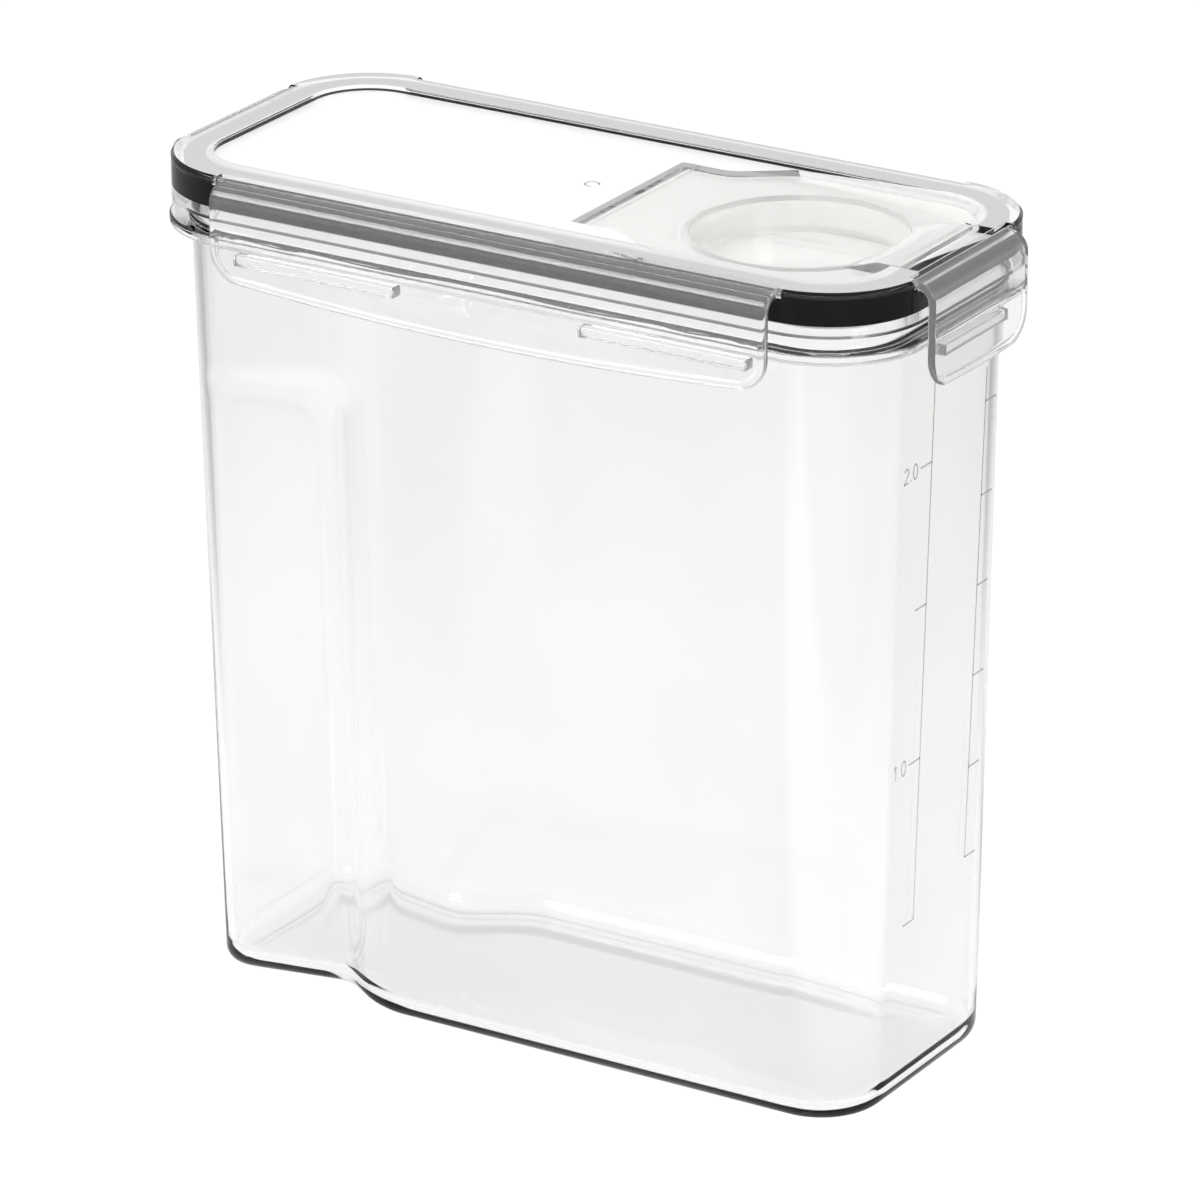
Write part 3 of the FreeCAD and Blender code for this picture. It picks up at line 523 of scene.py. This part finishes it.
def bar(profile, start, end, edge):
    """A closed profile of (out, level) drawn along x, its two ends drawn in by an edge."""
    middle = profile.mean(0)
    shrink = 1 - edge / np.abs(profile - middle).max(0)
    places = np.array([start, start + edge, end - edge, end])
    scales = np.array([shrink, (1, 1), (1, 1), shrink])
    section = middle + (profile - middle)[None] * scales[:, None]
    points = np.concatenate([np.broadcast_to(places[:, None, None], (*section.shape[:2], 1)), section], -1)
    count = len(profile)
    first = np.arange(count)[None]
    faces = [grid_faces(4, count, closed_columns=True), first[:, ::-1], first + 3 * count]
    points = points.reshape(-1, 3)
    return points, outward(points, faces)


def spread(count):
    """Shares from 0 to 1 that crowd towards both ends: half of one minus the cosine of an even angle."""
    return (1 - np.cos(np.linspace(0, math.pi, count))) / 2


def flap_shape(sizes, hinge_level, flap_length, bow, hooks):
    """One latch in its own frame: x along the hinge, then out from the lid's skirt, then the level.

    A sheet follows a line from the hinge over a rounded shoulder and straight down, s being the way along
    that line. At each x it ends at a bowed lower edge with rounded corners. Its two faces stand off the line
    by half the thickness, drawn in along a circle near the edge, and the outer face sinks inside the border.
    """
    half = sizes.thickness / 2
    middle_out = sizes.standoff + half
    low = hinge_level - sizes.reach
    start = np.array([-sizes.hinge_inset, hinge_level])
    corner = np.array([middle_out, hinge_level - (middle_out + sizes.hinge_inset) * math.tan(sizes.slope)])
    line = soft_corners([start, corner, (middle_out, low - bow)], [0, sizes.shoulder_cut, 0], 24)
    line = line[np.concatenate([[True], np.linalg.norm(np.diff(line, axis=0), axis=1) > SAME_POINT])]
    way = np.concatenate([[0], np.cumsum(np.linalg.norm(np.diff(line, axis=0), axis=1))])

    x = ((2 * spread(150) - 1) * flap_length / 2)[:, None]
    to_side = flap_length / 2 - np.abs(x)
    bottom = way[-1] - bow - bow * (2 * x / flap_length) ** 2
    cut = np.clip(sizes.corner - to_side, 0, None)
    lowest = bottom - sizes.corner + np.sqrt(sizes.corner ** 2 - cut ** 2)
    s = -half + spread(64)[None, :] * (lowest + half)
    to_bottom = bottom - s
    in_corner = (to_side < sizes.corner) & (to_bottom < sizes.corner)
    round_off = sizes.corner - np.hypot(sizes.corner - to_side, sizes.corner - to_bottom)
    edge = np.clip(np.where(in_corner, round_off, np.minimum(to_side, to_bottom)), 0, None)
    nearest = np.minimum(edge, s + half)
    bulge = half * np.sqrt(1 - (1 - np.clip(nearest / half, 0, 1)) ** 2)
    recess_start = np.interp(-(hinge_level - sizes.recess_drop), -line[:, 1], way)
    sink = np.clip((np.minimum(edge, s - recess_start) - sizes.border) / sizes.recess + 1, 0, 1)
    sink = sizes.recess * sink ** 2 * (3 - 2 * sink)

    slope_way = np.clip(s, 0, None)
    base_out = np.interp(slope_way, way, line[:, 0])
    base_level = np.interp(slope_way, way, line[:, 1])
    ahead = np.clip(slope_way + sizes.hook_gap, 0, way[-1])
    behind = np.clip(slope_way - sizes.hook_gap, 0, way[-1])
    tangent = np.stack([np.interp(ahead, way, line[:, 0]) - np.interp(behind, way, line[:, 0]),
                        np.interp(ahead, way, line[:, 1]) - np.interp(behind, way, line[:, 1])], -1)
    tangent /= np.linalg.norm(tangent, axis=-1, keepdims=True)
    normal = np.stack([-tangent[..., 1], tangent[..., 0]], -1)
    base = np.stack([base_out, base_level], -1) + tangent * np.minimum(s, 0)[..., None]
    outer = base + normal * (bulge - np.minimum(sink, bulge))[..., None]
    inner = base - normal * bulge[..., None]
    wide = np.broadcast_to(x[..., None], (*s.shape, 1))
    rows, columns = s.shape
    faces = grid_faces(rows, columns)
    points = np.concatenate([np.concatenate([wide, outer], -1).reshape(-1, 3),
                             np.concatenate([wide, inner], -1).reshape(-1, 3)])
    shapes = [weld(points, np.concatenate([faces, faces[:, ::-1] + rows * columns]))]
    hook = soft_corners(
        [
            (sizes.standoff - sizes.hook_gap, sizes.hook_top),
            (sizes.standoff - sizes.hook_reach, sizes.hook_top),
            (sizes.standoff - sizes.hook_reach, sizes.hook_top - sizes.hook_thickness),
            (sizes.standoff - sizes.hook_gap, sizes.hook_top - sizes.hook_thickness),
        ],
        sizes.hook_round, 4,
    )
    shapes += [bar(hook, start_x, end_x, sizes.hook_edge) for start_x, end_x in hooks]
    turn = np.linspace(0, 2 * math.pi, 24, endpoint=False)
    pin = start + half * PIN_SHARE * np.stack([np.cos(turn), np.sin(turn)], -1)
    for side in (-1, 1):
        ends = sorted((side * (flap_length / 2 + sizes.pin_length), side * (flap_length / 2 - half)))
        shapes.append(bar(pin, ends[0], ends[1], sizes.pin_edge))
    return join(*shapes)


def ridge(path, normal, width, height):
    """A raised line: an ellipse as wide and as high as the line, carried along a path, with flat ends."""
    along = np.gradient(path, axis=0)
    along /= np.linalg.norm(along, axis=1, keepdims=True)
    side = np.cross(along, normal)
    turn = np.linspace(0, 2 * math.pi, 8, endpoint=False)[None, :, None]
    across = np.cos(turn) * width / 2 * side[:, None]
    points = path[:, None] + across + np.sin(turn) * height / 2 * np.asarray(normal)
    rows, columns = points.shape[:2]
    first = np.arange(columns)[None]
    faces = [grid_faces(rows, columns, closed_columns=True), first[:, ::-1], first + (rows - 1) * columns]
    points = points.reshape(-1, 3)
    return points, outward(points, faces)


def numeral_paths(text, height):
    """Strokes of plain numerals as (across, up) points in shares of the height: lines, ellipses and arcs."""
    turn = np.linspace(0, 2 * math.pi, 25)
    bend = np.linspace(math.pi * 0.9, -math.pi * 0.25, 12)
    foot = np.array([(-0.28, 0.0), (0.28, 0.0)])
    hook = np.stack([0.26 * np.cos(bend), 0.74 + 0.26 * np.sin(bend)], -1)
    strokes = {
        "0": [np.stack([0.27 * np.cos(turn), 0.5 + 0.5 * np.sin(turn)], -1)],
        "1": [np.array([(-0.16, 0.78), (0.05, 1.0)]), np.array([(0.05, 1.0), (0.05, 0.0)])],
        "2": [np.concatenate([hook, foot[:1]]), foot],
        ".": [np.array([(0.0, 0.0), (0.0, 0.1)])],
    }
    advances = {"0": 0.75, "1": 0.6, "2": 0.75, ".": 0.4}
    paths = []
    pen = 0.0
    for mark in text:
        paths += [(stroke + (pen + advances[mark] / 2, 0)) * height for stroke in strokes[mark]]
        pen += advances[mark]
    return paths, pen * height


def weld(points, faces):
    """Joins points that fall together, and turns the faces outwards."""
    places, index = np.unique(np.round(points / MM, 4), axis=0, return_inverse=True)
    faces = index.reshape(-1)[faces]
    same = (faces == np.roll(faces, 1, 1))
    quads = faces[~same.any(1)]
    flat = faces[same.sum(1) == 1]
    keep = ~same[same.sum(1) == 1]
    triangles = flat[keep].reshape(-1, 3)
    places = places * MM
    return places, outward(places, [quads, triangles])


def add_node(tree, kind, inputs=None, **settings):
    """A new node with its settings, and with each input set to a value or linked to a socket."""
    node = tree.nodes.new(kind)
    for name, value in settings.items():
        setattr(node, name, value)
    for name, value in (inputs or {}).items():
        if isinstance(value, bpy.types.NodeSocket):
            tree.links.new(value, node.inputs[name])
        else:
            node.inputs[name].default_value = value
    return node


def tone_group():
    """Shared node group: the slight unevenness of a moulding.

    A soft noise over Object coordinates tones the tint by a few hundredths and shifts the roughness with it.
    """
    group = bpy.data.node_groups.new("moulded_tone", "ShaderNodeTree")
    group.interface.new_socket("Tint", in_out="INPUT", socket_type="NodeSocketColor")
    group.interface.new_socket("Roughness", in_out="INPUT", socket_type="NodeSocketFloat")
    group.interface.new_socket("Color", in_out="OUTPUT", socket_type="NodeSocketColor")
    group.interface.new_socket("Roughness", in_out="OUTPUT", socket_type="NodeSocketFloat")
    entry = add_node(group, "NodeGroupInput")
    coords = add_node(group, "ShaderNodeTexCoord").outputs["Object"]
    noise = add_node(
        group, "ShaderNodeTexNoise", {"Vector": coords, "Scale": TONE_SCALE, "Detail": TONE_DETAIL})
    least, greatest = TONE_RANGE
    level = add_node(
        group, "ShaderNodeMapRange", {"Value": noise.outputs["Fac"], "To Min": least, "To Max": greatest})
    level = level.outputs["Result"]
    shade = add_node(group, "ShaderNodeMix", {"Factor": 1.0, "A": entry.outputs["Tint"], "B": level},
                     data_type="RGBA", blend_type="MULTIPLY")
    gloss = add_node(group, "ShaderNodeMath", {0: entry.outputs["Roughness"], 1: level}, operation="MULTIPLY")
    add_node(group, "NodeGroupOutput", {"Color": shade.outputs["Result"], "Roughness": gloss.outputs[0]})
    return group


def tone(material, tint, roughness):
    """Feeds a material's colour and roughness through the shared tone group."""
    tree = material.node_tree
    group = add_node(tree, "ShaderNodeGroup",
                     node_tree=bpy.data.node_groups.get("moulded_tone") or tone_group())
    group.inputs["Tint"].default_value = (*tint, 1)
    group.inputs["Roughness"].default_value = roughness
    shader = tree.nodes["Principled BSDF"]
    tree.links.new(group.outputs["Color"], shader.inputs["Base Color"])
    tree.links.new(group.outputs["Roughness"], shader.inputs["Roughness"])
    return shader


def clear_plastic(finishes, name, tint, gleam=1.0, milk=0.0):
    """Water-clear moulded plastic, less reflecting or milky where asked."""
    material = bpy.data.materials.new(name)
    material.use_nodes = True
    tree = material.node_tree
    shader = tone(material, tint, finishes.clear_roughness)
    shader.inputs["IOR"].default_value = finishes.clear_index
    shader.inputs["Transmission Weight"].default_value = 1.0 - milk
    shader.inputs["Specular Tint"].default_value = (gleam, gleam, gleam, 1)
    path = add_node(tree, "ShaderNodeLightPath")
    through = add_node(tree, "ShaderNodeBsdfTransparent", {"Color": (*[finishes.clear_shadow] * 3, 1)})
    mix = add_node(tree, "ShaderNodeMixShader",
                   {"Fac": path.outputs["Is Shadow Ray"], 1: shader.outputs[0], 2: through.outputs[0]})
    tree.links.new(mix.outputs[0], tree.nodes["Material Output"].inputs["Surface"])
    return material


def silicone(name, tint, roughness, gloss):
    """Smooth silicone rubber."""
    material = bpy.data.materials.new(name)
    material.use_nodes = True
    shader = tone(material, tint, roughness)
    shader.inputs["Specular IOR Level"].default_value = gloss
    return material


def grey_ramp(tree, factor, stops):
    """The colour of a ramp of greys over a factor, from (position, grey) stops."""
    ramp = add_node(tree, "ShaderNodeValToRGB", {"Fac": factor})
    elements = ramp.color_ramp.elements
    elements.remove(elements[1])
    elements[0].position = stops[0][0]
    for position, grey in stops[1:]:
        elements.new(position)
    for element, (position, grey) in zip(elements, stops):
        element.color = (grey, grey, grey, 1)
    return ramp.outputs["Color"]


def mirror_share(tree, path):
    """One for a mirrored ray, else nought: a refracted ray counts as glossy too, and is taken off."""
    rays = {0: path.outputs["Is Glossy Ray"], 1: path.outputs["Is Transmission Ray"]}
    return add_node(tree, "ShaderNodeMath", rays, operation="SUBTRACT", use_clamp=True).outputs[0]


def build_world(stage):
    """White to the camera, toned over height in reflections and through the plastic, else even light."""
    world = bpy.data.worlds.new("studio")
    bpy.context.scene.world = world
    world.use_nodes = True
    tree = world.node_tree
    tree.nodes.clear()
    coords = add_node(tree, "ShaderNodeTexCoord")
    height = add_node(tree, "ShaderNodeSeparateXYZ", {0: coords.outputs["Generated"]}).outputs["Z"]
    sky, gloss = stage.sky, stage.gloss_sky
    bent = grey_ramp(tree, height, [(0.15, 1.0), (0.5, sky), (0.75, sky), (1.0, stage.zenith)])
    glossy = grey_ramp(tree, height, [(0.1, stage.gloss_horizon), (0.3, gloss), (0.6, gloss), (0.8, 1.0)])
    path = add_node(tree, "ShaderNodeLightPath")
    mirrored = mirror_share(tree, path)
    toned = add_node(tree, "ShaderNodeMix", {"Factor": mirrored, "A": bent, "B": glossy}, data_type="RGBA")
    straight = path.outputs["Is Camera Ray"]
    shown = add_node(tree, "ShaderNodeMix",
                     {"Factor": straight, "A": toned.outputs["Result"], "B": (1, 1, 1, 1)}, data_type="RGBA")
    rays = {0: path.outputs["Is Glossy Ray"], 1: path.outputs["Is Transmission Ray"]}
    sharp = add_node(tree, "ShaderNodeMath", rays, operation="MAXIMUM")
    seen = add_node(tree, "ShaderNodeMath", {0: sharp.outputs[0], 1: straight}, operation="MAXIMUM")
    lit = add_node(tree, "ShaderNodeBackground", {"Color": (1, 1, 1, 1), "Strength": stage.daylight})
    view = add_node(tree, "ShaderNodeBackground", {"Color": shown.outputs["Result"]})
    mix = add_node(
        tree, "ShaderNodeMixShader", {"Fac": seen.outputs[0], 1: lit.outputs[0], 2: view.outputs[0]})
    add_node(tree, "ShaderNodeOutputWorld", {"Surface": mix.outputs[0]})


def build_floor(stage):
    """A pale floor that glows to white and keeps a faint shadow.

    Seen through the container it is a white strip along the view with grey to its sides, which follows the
    distance across that strip. Mirrored in it, the floor has tones in bands along the mirrored view.
    """
    mesh = bpy.data.meshes.new("floor")
    reach = stage.floor_reach
    corners = [(-reach, -reach, 0), (reach, -reach, 0), (reach, reach, 0), (-reach, reach, 0)]
    mesh.from_pydata(corners, [], [(0, 1, 2, 3)])
    floor = bpy.data.objects.new("floor", mesh)
    bpy.context.scene.collection.objects.link(floor)
    floor.location.z = -stage.floor_drop
    material = bpy.data.materials.new("floor")
    material.use_nodes = True
    tree = material.node_tree
    tree.nodes.clear()
    path = add_node(tree, "ShaderNodeLightPath")
    mirrored = mirror_share(tree, path)
    coords = add_node(tree, "ShaderNodeTexCoord").outputs["Object"]

    def across(side):
        """Distance across the view for side 1, or across the mirrored view for side -1."""
        direction = (math.cos(stage.azimuth), side * math.sin(stage.azimuth), 0)
        dot = add_node(tree, "ShaderNodeVectorMath", operation="DOT_PRODUCT")
        dot.inputs[1].default_value = direction
        tree.links.new(coords, dot.inputs[0])
        return dot.outputs["Value"]

    size = add_node(tree, "ShaderNodeMath", {0: across(1)}, operation="ABSOLUTE")
    ends = {"From Min": stage.strip_half, "From Max": stage.strip_end}
    tones = {"To Min": stage.floor_glow, "To Max": stage.floor_side}
    strip = add_node(tree, "ShaderNodeMapRange", {"Value": size.outputs[0], **ends, **tones},
                     interpolation_type="SMOOTHSTEP")
    ends = {"From Min": stage.band_start, "From Max": stage.band_end}
    place = add_node(tree, "ShaderNodeMapRange", {"Value": across(-1), **ends})
    bands = grey_ramp(tree, place.outputs["Result"], MIRRORED_BANDS)
    dim = add_node(tree, "ShaderNodeMapRange", {"Value": mirrored, "To Min": 1.0, "To Max": bands})
    product = add_node(tree, "ShaderNodeMath", {0: strip.outputs["Result"], 1: dim.outputs["Result"]},
                       operation="MULTIPLY")
    straight = path.outputs["Is Camera Ray"]
    level = add_node(
        tree, "ShaderNodeMix", {"Factor": straight, "A": product.outputs[0], "B": stage.floor_glow})
    diffuse = add_node(tree, "ShaderNodeBsdfDiffuse", {"Color": (*[stage.floor_grey] * 3, 1)})
    glow = add_node(tree, "ShaderNodeEmission", {"Strength": level.outputs["Result"]})
    both = add_node(tree, "ShaderNodeAddShader", {0: diffuse.outputs[0], 1: glow.outputs[0]})
    add_node(tree, "ShaderNodeOutputMaterial", {"Surface": both.outputs[0]})
    mesh.materials.append(material)


def soft_box(name, place, aim, size, power):
    """A rectangular soft lamp at a place, turned to an aim."""
    light = bpy.data.lights.new(name, "AREA")
    light.shape = "RECTANGLE"
    light.size, light.size_y = size
    light.energy = power
    lamp = bpy.data.objects.new(name, light)
    lamp.location = place
    lamp.rotation_mode = "QUATERNION"
    lamp.rotation_quaternion = (Vector(aim) - Vector(place)).to_track_quat("-Z", "Y")
    bpy.context.scene.collection.objects.link(lamp)


class BuildStage(bpy.types.Operator):
    """Sets up the camera, floor, world and lamps."""

    bl_idname = "canister.stage"
    bl_label = "Stage"

    def execute(self, context):
        stage = context.scene.canister_stage
        camera = bpy.data.cameras.new("camera")
        camera.lens = stage.lens
        camera.sensor_width = stage.sensor
        camera.clip_end = stage.far_clip
        holder = bpy.data.objects.new("camera", camera)
        back = Vector((math.sin(stage.azimuth) * math.cos(stage.elevation),
                       -math.cos(stage.azimuth) * math.cos(stage.elevation), math.sin(stage.elevation)))
        holder.location = Vector((stage.aim_x, 0, stage.aim_z)) + back * stage.distance
        holder.rotation_mode = "QUATERNION"
        holder.rotation_quaternion = (-back).to_track_quat("-Z", "Y")
        context.scene.collection.objects.link(holder)
        context.scene.camera = holder
        context.scene.view_settings.view_transform = "Standard"
        build_world(stage)
        build_floor(stage)
        for name, (place, size, power) in LAMPS.items():
            soft_box(name, place, LAMP_AIM, size, power)
        return {"FINISHED"}


class BuildVessel(bpy.types.Operator):
    """Draws the clear vessel."""

    bl_idname = "canister.vessel"
    bl_label = "Vessel"

    def execute(self, context):
        finishes = context.scene.canister_finishes
        shape = vessel_shape(context.scene.canister_body)
        clear = clear_plastic(finishes, "clear_body", finishes.body)
        add_piece("vessel", shape, "container", clear, ["container_body"])
        return {"FINISHED"}


class BuildLid(bpy.types.Operator):
    """Draws the lid and its flip cap, with a painted highlight on the rim's top and painted shade on upright
    edges.
    """

    bl_idname = "canister.lid"
    bl_label = "Lid and cap"

    def execute(self, context):
        finishes = context.scene.canister_finishes
        radius = context.scene.canister_body.corner_radius
        sizes = context.scene.canister_lid
        clear = clear_plastic(finishes, "clear_lid", finishes.lid, gleam=finishes.lid_gleam)
        milky = clear_plastic(finishes, "clear_panel", finishes.panel, milk=finishes.panel_milk)
        # The rim's top: milky white as a painted highlight
        rim_top_highlight = clear_plastic(finishes, "clear_rim_painted_highlight", finishes.rim, milk=finishes.rim_highlight_milk)
        clear_cap = clear_plastic(finishes, "clear_cap", finishes.cap, milk=finishes.cap_milk)
        # Upright edges: darkened as painted shade
        edge = clear_plastic(finishes, "clear_edge_painted_shade", finishes.edge)
        shell = smooth_copy("lid", "lid_shell", "container", clear)
        for material in (milky, rim_top_highlight, edge):
            shell.data.materials.append(material)
        centres, normals = faces_of(shell)
        past = np.abs(centres[:, :2]) - (np.array(LID_HIGH[:2]) - radius)
        inset = radius - np.linalg.norm(np.clip(past, 0, None), axis=1)
        depth = LID_HIGH[2] - centres[:, 2]
        level = normals[:, 2] > LEVEL
        high = depth < sizes.rim_highlight_depth
        inner = (inset > sizes.clear_inset) & (level | (depth > sizes.panel_depth))
        # Slot 2 is the rim's top, milky white as a painted highlight; slot 3 is the tray's upright edges,
        # darkened as painted shade
        kind = np.where(level & high, 2, np.where(inner & ~high, 1, 0))
        upright = np.abs(normals[:, 2]) < UPRIGHT
        kind[(inset > sizes.tray_inset) & upright & (depth < sizes.tray_depth)] = 3
        shell.data.polygons.foreach_set("material_index", kind.astype(np.int32))
        cap = smooth_copy("flip_cap", "cap_shell", "cap", clear_cap)
        cap.data.materials.append(edge)
        low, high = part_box("cap_seal_ring")
        centres, normals = faces_of(cap)
        away = np.hypot(centres[:, 0] - (low[0] + high[0]) / 2, centres[:, 1]) > (high[0] - low[0]) / 2
        # Upright faces of the cap away from the seal take the dark edge tint: painted shade
        side = (np.abs(normals[:, 2]) < UPRIGHT) & away
        cap.data.polygons.foreach_set("material_index", side.astype(np.int32))
        return {"FINISHED"}


class BuildLatches(bpy.types.Operator):
    """Draws the four fold-down latches."""

    bl_idname = "canister.latches"
    bl_label = "Latches"

    def execute(self, context):
        sizes = context.scene.canister_latches
        finishes = context.scene.canister_finishes
        clear = clear_plastic(finishes, "clear_latch", finishes.latch, milk=finishes.latch_milk)
        level = HINGES["front_latch_hinge"]["pos_m"][2]
        long_hooks = [(-sizes.hook_end, -sizes.hook_start), (sizes.hook_start, sizes.hook_end)]
        short_hooks = [(-sizes.short_hook, sizes.short_hook)]
        long_flap = flap_shape(sizes, level, sizes.long_length, sizes.long_bow, long_hooks)
        short_flap = flap_shape(sizes, level, sizes.short_length, sizes.short_bow, short_hooks)
        sides = {
            "front": (long_flap, LID_HIGH[1], (1, 0)),
            "right": (short_flap, LID_HIGH[0], (0, 1)),
            "back": (long_flap, LID_HIGH[1], (-1, 0)),
            "left": (short_flap, LID_HIGH[0], (0, -1)),
        }
        for side, ((points, faces), reach, (cosine, sine)) in sides.items():
            latch = side + "_latch"
            along, out, height = points.T
            out = out + reach
            placed = np.stack([along * cosine + out * sine, along * sine - out * cosine, height], -1)
            flap = (placed, outward(placed, faces))
            add_piece(side + "_flap", flap, latch, clear, [latch], sharp=40.0)
        return {"FINISHED"}


class BuildRings(bpy.types.Operator):
    """Draws the black gasket and the white seal."""

    bl_idname = "canister.rings"
    bl_label = "Sealing rings"

    def execute(self, context):
        sizes = context.scene.canister_rings
        finishes = context.scene.canister_finishes
        low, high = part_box("lid_gasket")
        body = context.scene.canister_body
        outer = LID_HIGH[0] - high[0] - sizes.contact
        inner = sizes.gasket_inset
        top = high[2] + sizes.contact
        neck = body.flange_level + body.flange_thickness + body.neck_height + sizes.gasket_gap
        groove = (body.wall_inset - sizes.gasket_gap, body.wall_inset + body.wall + sizes.gasket_gap)
        profile = soft_corners(
            [
                (outer, top),
                (inner, top),
                (inner, low[2]),
                (groove[1], low[2]),
                (groove[1], neck),
                (groove[0], neck),
                (groove[0], low[2]),
                (outer, low[2]),
            ],
            sizes.gasket_round,
        )
        gasket = swept_ring(profile, body.corner_radius)
        black = silicone("black_silicone", finishes.gasket, finishes.gasket_roughness, finishes.gasket_gloss)
        add_piece("gasket_ring", gasket, "container", black, ["lid_gasket"])
        low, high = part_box("cap_seal_ring")
        centre = np.array([(low[0] + high[0]) / 2, 0.0])
        rim = (high[0] - low[0]) / 2
        bore = rim - sizes.seal_wall - sizes.seal_flare
        corners = [(bore, high[2]), (rim, high[2]), (bore + sizes.seal_wall, low[2]), (bore, low[2])]
        seal = turned_ring(soft_corners(corners, sizes.seal_round), centre)
        white = silicone("white_silicone", finishes.seal, finishes.seal_roughness, finishes.seal_gloss)
        add_piece("cap_seal", seal, "cap", white, ["cap_seal_ring"])
        return {"FINISHED"}


class BuildMarks(bpy.types.Operator):
    """Draws the two scales on the end wall and the gate mark on the lid, their raised lines tinted grey as
    painted shade.
    """

    bl_idname = "canister.marks"
    bl_label = "Moulded marks"

    def execute(self, context):
        sizes = context.scene.canister_marks
        body = context.scene.canister_body
        finishes = context.scene.canister_finishes
        lines = []

        def on_wall(path):
            """Adds a raised line along a path of (across, level) on the end wall."""
            path = np.asarray(path)
            draft = body.wall_inset + body.wall_draft * (1 - path[:, 1] / body.flange_level)
            path = np.column_stack([LID_HIGH[0] - draft + sizes.line_height / 2, path])
            lines.append(ridge(path, (1.0, 0.0, 0.0), sizes.line_width, sizes.line_height))

        def scale(low, high, levels, side, labels):
            """Adds a scale's line with its ticks to one side, and its numerals past them."""
            on_wall([low, high])
            for level in levels:
                y = np.interp(level, (low[1], high[1]), (low[0], high[0]))
                on_wall([(y, level), (y + side * sizes.tick, level)])
                if level in labels:
                    paths, width = numeral_paths(labels[level], sizes.numeral)
                    start = y + side * (sizes.tick + sizes.label_gap) - (width if side < 0 else 0)
                    for path in paths:
                        on_wall(path + (start, level - sizes.numeral / 2))

        near = [level * MM for level in NEAR_TICKS]
        far = [level * MM for level in FAR_TICKS]
        scale((-sizes.near_low, sizes.near_first), (-sizes.near_top, sizes.near_high), near, -1,
              {near[0]: "2.0", near[2]: "1.0"})
        scale((sizes.far_low, sizes.far_first), (sizes.far_top, sizes.far_high), far, 1, {})
        # Grey tint on the scale lines: painted shade
        marks = clear_plastic(finishes, "clear_marks_painted_shade", finishes.marks)
        add_piece("scale_lines", join(*lines), "container", marks)

        turn = np.linspace(sizes.gate_start, sizes.gate_end, 24)
        ring = np.stack([np.cos(turn), np.sin(turn), np.zeros(turn.size)], -1) * sizes.gate_radius
        level = HINGES["front_latch_hinge"]["pos_m"][2] + sizes.line_height
        gate = ridge(ring + (0.0, 0.0, level), (0.0, 0.0, 1.0), sizes.line_width, sizes.line_height)
        # Grey tint on the gate mark: painted shade
        gate_mark_shade = clear_plastic(finishes, "gate_mark_shade", finishes.gate_mark_shade)
        add_piece("gate_mark", gate, "container", gate_mark_shade)
        return {"FINISHED"}


class ContainerPanel(bpy.types.Panel):
    """Lists the container's operators."""

    bl_idname = "VIEW3D_PT_canister"
    bl_label = "Container"
    bl_space_type = "VIEW_3D"
    bl_region_type = "UI"
    bl_category = "Container"

    def draw(self, context):
        for operator in OPERATORS:
            self.layout.operator(operator.bl_idname)


OPERATORS = (BuildStage, BuildVessel, BuildLid, BuildLatches, BuildRings, BuildMarks)
GROUPS = {
    "canister_body": BodySizes,
    "canister_marks": MarkSizes,
    "canister_lid": LidSizes,
    "canister_latches": LatchSizes,
    "canister_rings": RingSizes,
    "canister_finishes": Finishes,
    "canister_stage": StageSettings,
}


def register():
    """Registers the classes and hangs the settings on the scene."""
    for item in (*GROUPS.values(), *OPERATORS, ContainerPanel):
        bpy.utils.register_class(item)
    for name, group in GROUPS.items():
        setattr(bpy.types.Scene, name, bpy.props.PointerProperty(type=group))


def unregister():
    """Takes the settings and classes away again."""
    for name in GROUPS:
        delattr(bpy.types.Scene, name)
    for item in (*GROUPS.values(), *OPERATORS, ContainerPanel):
        bpy.utils.unregister_class(item)


def main():
    """Draws everything in order."""
    register()
    bpy.ops.canister.stage()
    bpy.ops.canister.vessel()
    bpy.ops.canister.lid()
    bpy.ops.canister.latches()
    bpy.ops.canister.rings()
    bpy.ops.canister.marks()


if __name__ == "__main__":
    main()
